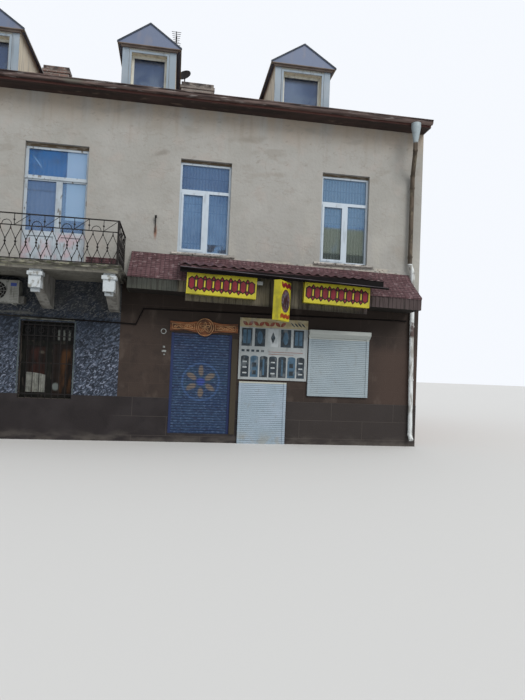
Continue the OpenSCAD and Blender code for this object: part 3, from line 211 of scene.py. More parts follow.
# Edges of blotchy crystal cells, as in stone chips
tree, given, result, place = effect("cells", Stretch=(1, 1, 1), Low=0, High=1)
bent = node(tree, "TexNoise", {"Vector": place, "Scale": 6.0, "Detail": 3.0}).outputs["Color"]
place = vector(tree, "ADD", place, vector(tree, "MULTIPLY", bent, (0.12, 0.12, 0.12)))
crazed = node(tree, "TexVoronoi", {"Vector": vector(tree, "MULTIPLY", place, given["Stretch"]),
                                   "Scale": 1.0}, feature="DISTANCE_TO_EDGE")
tree.links.new(ramp(tree, crazed.outputs["Distance"], given["Low"], given["High"]), result["Mask"])

# Even bands across one axis, such as slat joints and pleats
tree, given, result, place = effect("bands", Axis=(0, 0, 1), Period=0.05, Slide=0, Low=0.7, High=0.9)
along = calc(tree, "ADD", vector(tree, "DOT_PRODUCT", place, given["Axis"]), given["Slide"])
turns = node(tree, "Math", {0: calc(tree, "DIVIDE", along, given["Period"])}, operation="FRACT").outputs[0]
off_centre = node(tree, "Math", {0: calc(tree, "SUBTRACT", turns, 0.5)}, operation="ABSOLUTE").outputs[0]
tree.links.new(ramp(tree, calc(tree, "MULTIPLY", off_centre, 2.0), given["Low"], given["High"]),
               result["Mask"])


def mask_of(tree, kind, output="Mask", **values):
    group = node(tree, "Group", node_tree=effects[kind])
    for key, value in values.items():
        group.inputs[key.capitalize()].default_value = value
    return group.outputs[output]


def dress(material, pieces):
    """Puts a finish on pieces of the house in place of what they had."""
    for piece in pieces.split():
        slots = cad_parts[piece].data.materials
        slots.clear()
        slots.append(material)


def finish(name, colour, layers, roughness=0.8, metallic=0.0, alpha=1.0, varnish=0.0, shine=0.4, on=""):
    """A weathered finish: each layer lays a colour, roughness and height over the last through its masks."""
    material = bpy.data.materials.new(name)
    material.use_nodes = True
    tree = material.node_tree
    shade, rough, height = hex_colour(colour), roughness, 0.0
    for layer in layers:
        mask = layer.get("amount", 1.0)
        for kind, values in layer["masks"]:
            mask = calc(tree, "MULTIPLY", mask_of(tree, kind, **values), mask)
        if "colour" in layer:
            shade = node(tree, "Mix", {0: mask, 6: shade, 7: hex_colour(layer["colour"])},
                         data_type="RGBA").outputs[2]
        if "roughness" in layer:
            rough = calc(tree, "ADD", calc(tree, "MULTIPLY", mask, layer["roughness"] - roughness), rough)
        if "height" in layer:
            height = calc(tree, "ADD", height, calc(tree, "MULTIPLY", mask, layer["height"]))
    sockets = tree.nodes["Principled BSDF"].inputs
    feed(tree, shade, sockets["Base Color"])
    feed(tree, rough, sockets["Roughness"])
    if height:
        feed(tree, node(tree, "Bump", {"Height": height, "Distance": 1.0}).outputs[0], sockets["Normal"])
    for label, value in (("Metallic", metallic), ("Specular IOR Level", shine), ("Alpha", alpha),
                         ("Coat Weight", varnish)):
        sockets[label].default_value = value
    dress(material, on)
    return material


unit = {"x": (1, 0, 0), "y": (0, 1, 0), "z": (0, 0, 1)}


def grain(stretch, low, high, seed, **more):
    if not isinstance(stretch, tuple):
        stretch = (stretch,) * 3
    return "grain", dict(stretch=stretch, low=low, high=high, seed=seed, **more)


def fade(start, end, axis="z"):
    return "fade", dict(axis=unit[axis], start=start, end=end)


def spot(centre, shrink, **more):
    return "spot", dict(centre=centre, shrink=shrink, **more)


def area(x0, z0, x1, z1, soft, y0=-5, y1=-4):
    """A part of the front, from its left foot to its right head."""
    return "block", dict(low=(x0, y0, z0), high=(x1, y1, z1), soft=soft)


def joints(width, height, joint, **more):
    return "joints", dict(width=width, height=height, joint=joint, **more)


def bands(period, low, high, axis="z", slide=0.0):
    return "bands", dict(axis=unit[axis], period=period, slide=slide, low=low, high=high)


def coat(colour, amount, *masks, **more):
    """One layer of a finish: a colour laid on where all the masks are."""
    return dict(colour=colour, amount=amount, masks=masks, **more)


def relief(height, stretch, seed):
    """Fine unevenness of a surface."""
    return dict(height=height, masks=[grain(stretch, 0.3, 0.7, seed)])


def clouds(size, colour, amount, seed, low=0.42, high=0.62, **more):
    return coat(colour, amount, grain(1 / size, low, high, seed), **more)


def specks(colour, amount, across, up, low, high, seed, *masks, **more):
    """Noise with one stretch along the ground and another upward."""
    return coat(colour, amount, grain((across, across, up), low, high, seed), *masks, **more)


def streaks(width, colour, amount, top, foot, seed, low=0.5, high=0.7):
    """Rain streaks that run down from a height and fade out at another."""
    return coat(colour, amount, grain((1 / width, 1 / width, 0.5), low, high, seed), fade(foot, top))


street_y = -4.8


def patch(x, z, w, h, colour, amount, edge=0.9, ragged=1.6, turn=0.0):
    """A stain or repair on the front, w wide and h high."""
    return coat(colour, amount, spot((x, street_y, z), (2 / w, 0.2, 2 / h), edge=edge, ragged=ragged,
                                     turn=turn))


eaves_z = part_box("eaves_boxes")[0].z
finish("old_render", "9a9995", [
    clouds(1.9, "93928d", 0.8, 1, 0.4, 0.62),
    clouds(0.8, "a09f9b", 0.6, 2, 0.48, 0.66),
    clouds(0.5, "9f9892", 0.5, 6, 0.52, 0.68),
    clouds(0.22, "8f8c86", 0.4, 3, 0.5, 0.72, height=0.002),
    # Warm band fading down from the eaves, broken into streaks: painted reflected light.
    streaks(0.35, "a0917f", 0.7, eaves_z, eaves_z - 0.8, 4, low=0.3, high=0.6),
    streaks(0.16, "8a8278", 0.45, eaves_z, eaves_z - 1.4, 14, low=0.52, high=0.68),
    streaks(0.6, "a6a49c", 0.6, 4.2, 6.2, 5),
    coat("8a867f", 0.55, grain((1.6, 1.6, 3.4), 0.56, 0.66, 7, detail=6), fade(5.2, 6.6)),
    coat("857f78", 0.5, grain((5, 5, 10), 0.6, 0.68, 10, detail=6, turn=0.5), fade(5.0, 6.8)),
    patch(0.6, 6.62, 0.55, 0.16, "77736c", 0.6, turn=0.4),
    patch(0.35, 7.2, 0.9, 0.25, "8a867e", 0.5, turn=0.3),
    patch(2.6, 7.15, 1.4, 0.22, "827d74", 0.5, turn=0.15),
    patch(3.1, 6.35, 1.3, 0.18, "8b857d", 0.4, turn=0.1),
    patch(2.75, 6.85, 0.5, 0.2, "837e76", 0.4, turn=0.5),
    patch(6.45, 4.75, 0.7, 0.9, "8f8a82", 0.5),
    patch(0.53, 4.78, 0.11, 0.5, "7a5340", 0.9, edge=0.9, ragged=0.5),
    coat("b4aea3", 0.75, area(1.3, 4.0, 6.5, 4.32, 0.04, y1=-4.7), grain((3, 3, 9), 0.44, 0.54, 15)),
    coat("5a524a", 0.8, area(1.3, 4.0, 6.5, 4.3, 0.05, y1=-4.7), grain((11, 11, 26), 0.56, 0.61, 16),
         height=-0.006),
    coat("8b867f", 0.4, grain((0.55, 0.55, 1.1), 0.494, 0.5, 8, detail=8),
         grain((0.55, 0.55, 1.1), 0.506, 0.5, 8, detail=8), height=-0.003),
    relief(0.004, 14, 9),
], roughness=0.93, on="front_wall_upper back_wall_upper back_wall_ground")


# Ground floor wall: the same brick wall, seen only in the reveals of the openings,
# where it is painted over and dark with street dirt.
finish("reveal_render", "57504a", [
    clouds(0.4, "6a625a", 0.6, 11, 0.4, 0.65),
    clouds(0.12, "433d38", 0.5, 12, 0.5, 0.7, height=0.002),
], roughness=0.92, on="front_wall_ground")


# Party walls: plain stock brick laid dry against the next house, thinly pointed,
# with old soot and a few rough coats of mortar.
brick = (0.26, 0.076)
finish("party_brick", "8a5b48", [
    coat("a27059", 0.9, joints(*brick, 0.011, output="Tint")),
    clouds(0.9, "74493a", 0.6, 21, 0.45, 0.65),
    clouds(1.6, "9a8f83", 0.55, 22, 0.55, 0.62, height=0.004),
    coat("9b9287", 0.9, joints(*brick, 0.011), roughness=0.95, height=-0.008),
    relief(0.003, 22, 23),
], roughness=0.9, on="party_wall_left party_wall_right")

finish("chimney_brick", "7f7772", [
    coat("8c827a", 0.9, joints(*brick, 0.012, output="Tint")),
    coat("7d564a", 0.6, fade(-1.0, -2.0, "x")),
    clouds(0.3, "5c5350", 0.7, 24, 0.45, 0.62),
    coat("949089", 0.9, joints(*brick, 0.012), height=-0.01),
    coat("2f2b2b", 0.85, fade(10.66, 10.8), grain(5, 0.35, 0.6, 25)),
    relief(0.006, 16, 26),
], roughness=0.93, on="chimneys")


# Floors: a concrete slab on the ground, another over the shop, and planks in the attic. They
# only show through the openings.
finish("slab_concrete", "8a867c", [
    clouds(0.8, "7a766d", 0.7, 31, 0.4, 0.6),
    relief(0.002, 20, 32),
], roughness=0.9, on="ground_floor first_floor")
finish("floor_boards", "8a6b48", [
    coat("6f5538", 0.6, grain((0.6, 9, 9), 0.4, 0.65, 33)),
], roughness=0.7, on="attic_floor")


# Main roof: red-brown coated sheet in long trays, joined by standing seams every 0.6 m.
# The seams are folded up from the sheet and stop at the dormers.
roof_sheet = finish("roof_sheet", "523430", [
    clouds(2.2, "6b4740", 0.7, 41, 0.4, 0.65),
    clouds(0.5, "4b2f2a", 0.55, 42, 0.52, 0.7),
    streaks(0.1, "7c5a4e", 0.35, 10.2, 8.0, 43),
    relief(0.001, 3, 44),
], roughness=0.55, metallic=0.1, on="roof_front roof_back ridge_cap")


def build(name, verts, faces, material, slot, smooth=False):
    """A finished piece on the house, from its points and faces."""
    mesh = bpy.data.meshes.new(name)
    mesh.from_pydata([tuple(v) for v in verts], [], faces)
    mesh.update()
    mesh.materials.append(material)
    if smooth:
        mesh.shade_smooth()
    made = put(name, mesh)
    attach(made, "root")
    return made


def bar_faces(a):
    """Faces of a bar whose four foot points start at a, with the four head points after them."""
    sides = [(a + k, a + (k + 1) % 4, a + 4 + (k + 1) % 4, a + 4 + k) for k in range(4)]
    return [(a, a + 3, a + 2, a + 1), (a + 4, a + 5, a + 6, a + 7)] + sides


def boxes(name, corners, material, slot):
    """One mesh of separate rectangular bars, each given by its low and high corner."""
    verts, faces = [], []
    for low, high in corners:
        faces += bar_faces(len(verts))
        for z in (low[2], high[2]):
            verts += [(low[0], low[1], z), (high[0], low[1], z), (high[0], high[1], z), (low[0], high[1], z)]
    return build(name, verts, faces, material, slot)


def spread(low, high, count):
    """Even places from one value to another."""
    return [low + (high - low) * k / (count - 1) for k in range(count)]


def geometry_row(name, size, points, material, slot, turn_x):
    """A row of equal ribs set on points by Geometry Nodes, turned about the front's direction."""
    tree = bpy.data.node_groups.new(name, "GeometryNodeTree")
    keys = {}
    for label, way, kind in (("Geometry", "INPUT", "Geometry"), ("Size", "INPUT", "Vector"),
                             ("Turn", "INPUT", "Float"), ("Ribs", "OUTPUT", "Geometry")):
        socket = tree.interface.new_socket(label, in_out=way, socket_type="NodeSocket" + kind)
        keys[label] = socket.identifier
    given = node(tree, "NodeGroupInput").outputs
    ribs = node(tree, "GeometryNodeInstanceOnPoints", {
        "Points": given["Geometry"],
        "Instance": node(tree, "GeometryNodeMeshCube", {"Size": given["Size"]}).outputs["Mesh"],
        "Rotation": node(tree, "CombineXYZ", {0: given["Turn"]}).outputs[0]})
    real = node(tree, "GeometryNodeRealizeInstances", {0: ribs.outputs[0]})
    paint = node(tree, "GeometryNodeSetMaterial", {"Geometry": real.outputs[0], "Material": material})
    node(tree, "NodeGroupOutput", {0: paint.outputs[0]})
    holder = build(name, points, [], material, slot)
    maker = holder.modifiers.new("row", "NODES")
    maker.node_group = tree
    maker[keys["Size"]] = size
    maker[keys["Turn"]] = turn_x
    solid = bpy.data.meshes.new_from_object(holder.evaluated_get(bpy.context.evaluated_depsgraph_get()))
    holder.modifiers.clear()
    holder.data = solid
    solid.name = name


roof_lo, roof_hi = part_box("roof_front")
roof_angle, eave_top = math.radians(24), 7.89
roof_run = roof_hi.y - roof_lo.y
dormers = [(-3.28, 0.74), (0.207, 0.74), (3.87, 0.81)]
chimney_spans = [(-2.91, 0.42), (1.465, 0.56)]
seam_step, seam_w, seam_h, seam_rise = 0.62, 0.022, 0.03, 0.012
short_from = 3.96
seam_xs = spread(roof_lo.x + 0.15, roof_hi.x - 0.15, int((roof_hi.x - roof_lo.x) / seam_step) + 1)


def clear_of(x, spans, margin=0.0):
    return all(abs(x - centre) >= half + margin for centre, half in spans)


def seam_row(name, xs, eave_y, toward, middle, run):
    """Seams up a slope, their middle so far in from its eave and their length a run on plan."""
    y, z = eave_y + toward * middle, eave_top + middle * math.tan(roof_angle) + seam_rise
    geometry_row(name, (seam_w, run / math.cos(roof_angle), seam_h), [(x, y, z) for x in xs],
                 roof_sheet, "roof_metal", toward * roof_angle)


seam_row("front_roof_seams", [x for x in seam_xs if clear_of(x, dormers, 0.02)],
         roof_lo.y, 1, (roof_run - 0.09) / 2, roof_run - 0.15)
seam_row("front_roof_short_seams", [x for x in seam_xs if not clear_of(x, dormers, 0.02)],
         roof_lo.y, 1, (short_from + roof_run - 0.12) / 2, roof_run - 0.12 - short_from)
seam_row("back_roof_seams", [x for x in seam_xs if clear_of(x, chimney_spans)],
         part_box("roof_back")[1].y, -1, (roof_run - 0.09) / 2, roof_run - 0.15)


# Eaves: a boarded box under the roof's edge, brown paint gone chalky, with the half-round
# sheet gutter hung before it on straps. The gutter is rusting from its joints, and its light and dark
# streaks are partly chalky paint and partly painted highlights and shade of the bent sheet.
gutter_paint = finish("gutter_paint", "4c3c38", [
    clouds(0.7, "544642", 0.8, 51),
    # Light and dark streaks on the gutter: chalky paint with painted highlights and shade of its bends.
    coat("6f5f5a", 0.85, grain((0.7, 5, 18), 0.47, 0.6, 52), roughness=0.9),
    coat("241816", 0.9, grain((1.2, 4, 20), 0.49, 0.6, 53)),
    coat("8f8885", 0.8, grain((3, 14, 30), 0.56, 0.66, 54)),
    patch(-1.35, 7.82, 0.75, 0.12, "5f5f57", 0.9, ragged=0.8),
    relief(0.003, (6, 9, 9), 55),
], roughness=0.7, on="roof_gutters")
finish("eaves_paint", "30231f", [
    clouds(0.5, "3d2c28", 0.8, 56),
    coat("1f1614", 0.8, grain((0.7, 6, 6), 0.46, 0.62, 57)),
    coat("6b5a50", 0.6, grain((2.5, 9, 9), 0.6, 0.7, 59)),
    relief(0.003, (1, 12, 12), 58),
], roughness=0.85, on="eaves_boxes")
finish("dark_pipe", "0f0c0c", [
    clouds(0.3, "1a1413", 0.8, 60),
    coat("3c3a38", 0.8, fade(-1.2, -2.2, "x"), grain((1.5, 9, 9), 0.42, 0.6, 66)),
    relief(0.001, 12, 67),
], roughness=0.8, shine=0.12, on="wall_pipe canopy_gutter")
gutter_lo, gutter_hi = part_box("roof_gutters")
strap_w, strap_t, strap_r = 0.028, 0.004, 0.06
centre_y, centre_z = roof_lo.y - strap_r, gutter_hi.z - 0.0525
strap_round = [(centre_y + (strap_r + strap_t) * math.cos(a), centre_z - (0.0525 + strap_t) * math.sin(a))
               for a in spread(0, math.pi, 11)]
strap_path = [(centre_y + 0.064, gutter_hi.z + 0.004), *strap_round, (centre_y - 0.064, gutter_hi.z + 0.004)]
strap_verts, strap_faces = [], []
for x in spread(gutter_lo.x + 0.3, gutter_hi.x - 0.3, 17):
    base = len(strap_verts)
    strap_verts += [(x + side, y, z) for y, z in strap_path for side in (-strap_w / 2, strap_w / 2)]
    strap_faces += [(a, a + 1, a + 3, a + 2) for a in range(base, len(strap_verts) - 2, 2)]
straps = build("gutter_straps", strap_verts, strap_faces, gutter_paint, "gutter_metal")
thick = straps.modifiers.new("sheet", "SOLIDIFY")
thick.thickness = strap_t
thick.offset = 0


# Downpipes: a zinc hopper and upper pipe gone to rust, and a newer white elbow and lower
# pipe of coated sheet beside the canopy.
elbow_z = 4.43
below_hopper = fade(7.33, 7.28)
finish("downpipe_zinc", "95a1a6", [
    clouds(0.15, "7c8789", 0.5, 65, 0.5, 0.7, height=0.001),
    coat("574d42", 1.0, below_hopper, roughness=0.85),
    coat("39332b", 0.7, below_hopper, grain((12, 12, 3.5), 0.42, 0.6, 61)),
    coat("7d7562", 0.5, below_hopper, grain((9, 9, 5), 0.54, 0.66, 62)),
    coat("d3d8d9", 1.0, fade(elbow_z + 0.02, elbow_z), roughness=0.45),
    coat("7f7c74", 0.85, fade(elbow_z, elbow_z - 0.02), grain((14, 14, 2.5), 0.44, 0.62, 63)),
    coat("4c3a37", 0.95, fade(3.05, 3.0), fade(2.62, 2.7), grain((9, 9, 5), 0.3, 0.5, 64)),
], roughness=0.5, metallic=0.1, on="front_downpipe back_downpipe")


# Dormers: sheet-covered bodies whose cheeks are cream, partly pale boards and partly painted sunlight,
# grey sheet gables and roofs whose thin dark edges stand over brown soffits. The windows are white.
# Cream on the cheeks behind the dormer fronts: pale boards with painted sunlight on them.
pale_boards_and_sunlight = fade(-4.655, -4.645, "y")
finish("dormer_sheet", "85939f", [
    clouds(0.5, "929da7", 0.7, 71, 0.42, 0.64),
    coat("d6ceb9", 1.0, pale_boards_and_sunlight),
    coat("bdb296", 0.6, pale_boards_and_sunlight, grain((6, 6, 1.5), 0.48, 0.66, 79)),
    specks("6b7075", 0.6, 14, 1.2, 0.52, 0.7, 72),
    relief(0.001, (8, 8, 3), 73),
], roughness=0.6, on="dormer_bodies")
finish("dormer_cover", "626d84", [
    clouds(0.6, "5a667d", 0.7, 74, 0.42, 0.64),
    specks("74747f", 0.6, 5, 2, 0.5, 0.7, 75),
    coat("8a8064", 1.0, fade(-4.768, -4.76, "y"), fade(9.12, 9.106)),
    relief(0.001, 6, 76),
], roughness=0.55, metallic=0.1, on="dormer_roofs")
verge_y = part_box("dormer_roofs")[0].y
wall_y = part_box("dormer_bodies")[0].y
dormer_eave, dormer_apex = 9.13, 9.64
edge_verts, edge_faces = [], []
for centre, half in dormers:
    for side in (-1, 1):
        edge_faces += bar_faces(len(edge_verts))
        for x, z in ((centre + side * (half - 0.002), dormer_eave), (centre, dormer_apex)):
            for y, rise in ((-0.006, -0.03), (-0.006, 0.008), (0.02, 0.008), (0.02, -0.03)):
                edge_verts.append((x, verge_y + y, z + rise))
dark_edge = finish("dark_edge", "333a42", [clouds(0.2, "464c55", 0.6, 77, 0.4, 0.7)], roughness=0.6,
                   shine=0.2)
build("dormer_roof_edges", edge_verts, edge_faces, dark_edge, "zinc")
moulding = finish("moulding_paint", "655a54", [
    clouds(0.3, "7d736b", 0.6, 78, 0.4, 0.65, height=0.001)], roughness=0.75, shine=0.2)
board_head = 9.108
boxes("dormer_drip_mouldings", [
    ((centre - half + inset, near, foot), (centre + half - inset, far, board_head))
    for inset, near, far, foot in ((0.03, verge_y + 0.004, verge_y + 0.05, 9.092),
                                   (0.09, verge_y + 0.05, wall_y - 0.001, 9.05))
    for centre, half in dormers], moulding, "zinc")


# Windows: white plastic frames with rubber lines, a little dusty, in plastered reveals.
# The balcony door is older, of painted wood worn at its foot and edges.
window_white = finish("window_white", "b3bfca", [
    clouds(0.25, "9ca8b2", 0.5, 81, 0.5, 0.7),
    specks("767c80", 0.5, 10, 1.5, 0.56, 0.7, 82),
    relief(0.0006, 30, 83),
], roughness=0.4, on="upper_windows back_windows")
finish("dormer_white", "c3c4bb", [
    clouds(0.25, "aeb0a8", 0.5, 80, 0.5, 0.7),
    specks("8d8a7c", 0.6, 12, 3, 0.52, 0.68, 97),
], roughness=0.5, on="dormer_windows")
finish("door_white", "a9b4bd", [
    clouds(0.3, "98a1a9", 0.7, 84, 0.45, 0.65),
    coat("b29ba2", 0.8, fade(4.66, 4.55), grain((4, 4, 3), 0.46, 0.62, 85)),
    specks("5d5750", 0.9, 16, 5, 0.58, 0.66, 86, height=-0.002),
    coat("554f49", 0.7, fade(4.15, 3.75), grain((9, 9, 5), 0.42, 0.62, 87)),
], roughness=0.5, on="balcony_door")
# From 5.6 m up the trims are brown: painted shade at the heads of the reveals.
shaded_reveal_heads = fade(5.5, 5.6)
finish("trim_stone", "a5a29d", [
    clouds(0.35, "93908a", 0.7, 88, 0.45, 0.65),
    specks("4f4a44", 0.9, 19, 34, 0.55, 0.61, 89, height=-0.008),
    specks("cfcac0", 0.8, 4, 12, 0.5, 0.6, 90),
    coat("5b4f40", 1.0, shaded_reveal_heads),
    coat("8d857a", 0.7, shaded_reveal_heads, grain((5, 5, 20), 0.48, 0.6, 98)),
    relief(0.006, 18, 91),
], roughness=0.92, on="window_trims")


# Glass: clear panes whose blue is a painted reflection of the open sky over the street, a little streaky.
# The right window has a painted reflection of a lit wall low down, and the balcony door an old blue blind;
# the tops of the dormer panes have painted shade.
blue_blind = area(-2.4, 5.86, -1.5, 6.6, 0.01)
dormer_glass = fade(8.2, 8.25)
finish("pane_glass", "4a6d98", [
    clouds(1.1, "6c92ba", 0.8, 92, 0.4, 0.62),
    # Darker blue in the upper lights: painted reflection.
    coat("43608a", 0.6, fade(5.75, 5.95)),
    coat("2b3346", 0.9, area(1.72, 4.3, 2.3, 4.62, 0.03), grain((7, 7, 12), 0.42, 0.56, 93)),
    # Painted reflection in the right window: a lit wall low down, dark at its foot, and sky above it.
    coat("6f775f", 0.85, area(4.3, 4.3, 5.6, 5.28, 0.08), grain((1.5, 1.5, 1.2), 0.1, 0.4, 99)),
    coat("2f3b38", 0.9, area(4.3, 4.3, 5.6, 4.66, 0.08)),
    coat("6a8cac", 0.9, area(4.3, 5.28, 5.7, 6.6, 0.04)),
    coat("0f62a4", 1.0, blue_blind),
    coat("1c4778", 0.8, blue_blind, grain((2.2, 5, 3), 0.46, 0.62, 100)),
    coat("8cb4d8", 0.8, spot((-2.13, -4.66, 6.19), (60, 0.2, 3.2), ragged=0.05, edge=0.9, turn=0.66)),
    # Pale and mid blues in the balcony door's lights: painted sky reflections.
    coat("8fb0d4", 1.0, area(-1.5, 5.86, -1.0, 6.6, 0.01)),
    coat("4f6f9c", 0.8, area(-2.4, 4.6, -1.7, 5.8, 0.02)),
    coat("94b6d8", 0.95, area(-1.5, 4.9, -1.0, 5.8, 0.03)),
    coat("1c2a44", 0.5, area(-2.4, 5.52, -1.7, 5.56, 0.01)),
    coat("4a5d80", 0.95, dormer_glass),
    # Pale and lighter parts of the dormer panes: painted reflections.
    coat("8094b4", 0.7, dormer_glass, fade(4.1, 3.6, "x"), fade(2.0, 2.1, "x")),
    coat("74869f", 0.8, dormer_glass, fade(8.75, 8.35), grain((2, 2, 3), 0.42, 0.6, 97)),
    # Dark top of the dormer panes: painted shade under their heads.
    coat("1d2330", 0.85, fade(8.76, 8.86)),
    relief(0.0008, 3, 94),
], roughness=0.08, alpha=0.54, varnish=0.3, on="window_panes")


# Inner grilles: thin square rods riveted to flat cross bars, standing in the reveals
# behind the upper windows.
wrought_iron = finish("wrought_iron", "100e0e", [
    clouds(0.12, "1d1716", 0.8, 111, 0.45, 0.65),
    specks("3f2c24", 0.7, 14, 9, 0.6, 0.7, 112),
    relief(0.001, 60, 113),
], roughness=0.65, shine=0.25)
window_centres = (-5.02, 1.635, 5.02)
window_half, window_foot, window_head = 0.5925, 4.365, 6.48
rod, rod_count, flat_half = 0.0095, 15, 0.011
grille_y = -4.6
rods_back = grille_y + 2 * rod
grille_bars = []
for centre in window_centres:
    left, right_end = centre - window_half, centre + window_half
    grille_bars += [((x - rod, grille_y, window_foot), (x + rod, rods_back, window_head))
                    for x in spread(left, right_end, rod_count + 2)[1:-1]]
    grille_bars += [((left, rods_back, z - flat_half), (right_end, rods_back + 0.005, z + flat_half))
                    for z in (4.62, 5.37, 5.56, 6.17)]
boxes("inner_window_grilles", grille_bars, wrought_iron, "rusty_iron")


# Curtains: sheer machine-made cloth gathered on a rail above each window and behind both
# halves of the balcony door, hanging in uneven folds that widen to the hem.
curtain_cloth = finish("curtain_cloth", "e0e5e8", [
    clouds(0.2, "c6cdd2", 0.5, 95, 0.4, 0.7),
    relief(0.0005, 120, 96),
], roughness=0.95)


def folded(across, down, place):
    """Points and faces of a sheet whose place is known for each share across and down it."""
    verts = [place(i / across, j / down) for j in range(down + 1) for i in range(across + 1)]
    faces = [(a, a + across + 1, a + across + 2, a + 1)
             for j in range(down) for a in range(j * (across + 1), j * (across + 1) + across)]
    return verts, faces


def curtain(name, x0, x1, z0, z1, y, folds, seed):
    draw = random.Random(seed)
    swell = [draw.uniform(0.6, 1.4) for _ in range(folds + 1)]
    drift = [draw.uniform(-0.4, 0.4) for _ in range(folds + 1)]

    def place(u, fallen):
        k = min(int(u * folds), folds - 1)
        part = u * folds - k
        size = (0.007 + 0.012 * fallen) * (swell[k] * (1 - part) + swell[k + 1] * part)
        lean = (drift[k] * (1 - part) + drift[k + 1] * part) * fallen
        swing = size * math.sin(2 * math.pi * u * folds + lean)
        return (x0 + (x1 - x0) * u, y + swing, z1 + (z0 - z1) * fallen)

    made = build(name, *folded(folds * 8, 14, place), curtain_cloth, "white_frame", smooth=True)


rail_spans = [(centre - 0.58, centre + 0.58, 6.44) for centre in window_centres] + [(-2.36, -1.04, 6.5)]
boxes("curtain_rails", [((x0, -4.535, z), (x1, -4.515, z + 0.015)) for x0, x1, z in rail_spans],
      window_white, "white_frame")
for number, centre in enumerate(window_centres):
    curtain(f"window_curtain_{number + 1}", centre - 0.57, centre + 0.57, 4.4, 6.44, -4.525, 11, number + 3)
curtain("door_curtain", -2.35, -1.05, 3.8, 6.5, -4.525, 12, 9)


# Balcony: a concrete slab with a moulded edge, mossy and black along its lip, on three
# plastered console brackets whose blocks were painted white.
finish("balcony_concrete", "67655e", [
    clouds(0.4, "75736b", 0.8, 101),
    # Pale streaks along the slab's edge: painted highlights on its moulding.
    specks("99987f", 0.65, 3, 22, 0.5, 0.6, 110, fade(3.54, 3.6), fade(3.699, 3.695)),
    specks("2b2a24", 0.95, 5, 24, 0.42, 0.54, 102, fade(3.59, 3.65), height=-0.004),
    specks("343b1f", 0.85, 8, 20, 0.5, 0.62, 103, fade(3.61, 3.67)),
    specks("4d4a43", 0.6, 9, 3, 0.5, 0.66, 104),
    coat("66645b", 0.75, fade(3.694, 3.699)),
    relief(0.008, 15, 105),
], roughness=0.95, on="balcony_slab")
bracket_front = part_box("balcony_slab")[0].y + 0.3
painted_ends = fade(bracket_front + 0.01, bracket_front, "y")
finish("bracket_render", "7b7974", [
    clouds(0.3, "8f8e89", 0.7, 106),
    specks("4f4c46", 0.7, 8, 2, 0.48, 0.64, 107),
    coat("5a574f", 0.6, grain(20, 0.52, 0.6, 114), fade(3.1, 2.8)),
    coat("b3babe", 1.0, painted_ends),
    coat("77766f", 0.85, painted_ends, grain((9, 9, 7), 0.52, 0.62, 108)),
    relief(0.004, 20, 109),
], roughness=0.9, on="balcony_brackets")


# Ironwork: the railing of wrought bars fire-welded into a lattice of eyes and bells, the
# window grilles, the aerial and the dish, all in old black paint over rust.
dress(wrought_iron, "railing_front railing_left railing_right window_grilles aerial satellite_dish")


# Foot of the front: smooth brown slabs beside the shop, dark stone chips set in mortar
# left of it, and plinth slabs below both with thin joints.
finish("brown_slabs", "322a26", [
    clouds(0.9, "3b312c", 0.8, 121, 0.42, 0.64),
    clouds(0.25, "292220", 0.5, 122, 0.48, 0.68),
    coat("443731", 0.8, fade(5.4, 6.2, "x"), fade(2.5, 2.2)),
    # Darker above 3 m: painted shade under the canopy.
    coat("2e2621", 0.85, fade(2.5, 3.0)),
    specks("5b514a", 0.35, 3, 1.5, 0.56, 0.72, 123),
    coat("463a34", 0.4, joints(1.35, 0.44, 0.006), height=-0.002),
    relief(0.001, 40, 124),
], roughness=0.7, shine=0.2, on="brown_facing")
finish("plinth_slabs", "262223", [
    clouds(0.8, "2f2b2c", 0.7, 125),
    clouds(0.3, "1f1c1d", 0.5, 126, 0.5, 0.68),
    coat("373230", 0.7, fade(3.0, 4.2, "x")),
    coat("5c5752", 0.6, fade(0.32, 0.0), grain((2, 2, 5), 0.38, 0.66, 127)),
    coat("56504c", 0.45, fade(-0.4, 0.2, "x"), joints(1.55, 0.43, 0.006, lift=0.29, slide=0.77),
         height=-0.003),
    relief(0.001, 30, 128),
], roughness=0.75, shine=0.2, on="plinth")
finish("stone_chips", "242a33", [
    coat("2d3440", 0.9, grain(5, 0.42, 0.6, 131)),
    coat("4b5564", 0.85, grain((10, 10, 22), 0.5, 0.6, 132, turn=0.7), fade(3.1, 2.4)),
    coat("7c8496", 0.9, grain((13, 13, 26), 0.545, 0.61, 133, turn=0.7), fade(2.75, 1.5), height=0.005),
    coat("5e677a", 0.8, grain((14, 14, 28), 0.57, 0.63, 134, turn=-0.8), fade(2.9, 2.0), height=0.005),
    coat("676869", 0.9, grain((20, 20, 44), 0.51, 0.6, 135, turn=0.6), fade(2.6, 2.9), height=0.003),
    coat("4a4b4b", 0.6, fade(2.7, 3.1), grain(2, 0.35, 0.6, 136)),
    coat("6d6d68", 0.6, area(-9, 2.7, -2.0, 2.84, 0.06, y0=-6), grain((4, 4, 16), 0.42, 0.56, 137)),
    dict(height=0.008, masks=[("cells", dict(stretch=(13, 13, 13), low=0.0, high=0.12))]),
], roughness=0.8, shine=0.25, on="stone_facing")


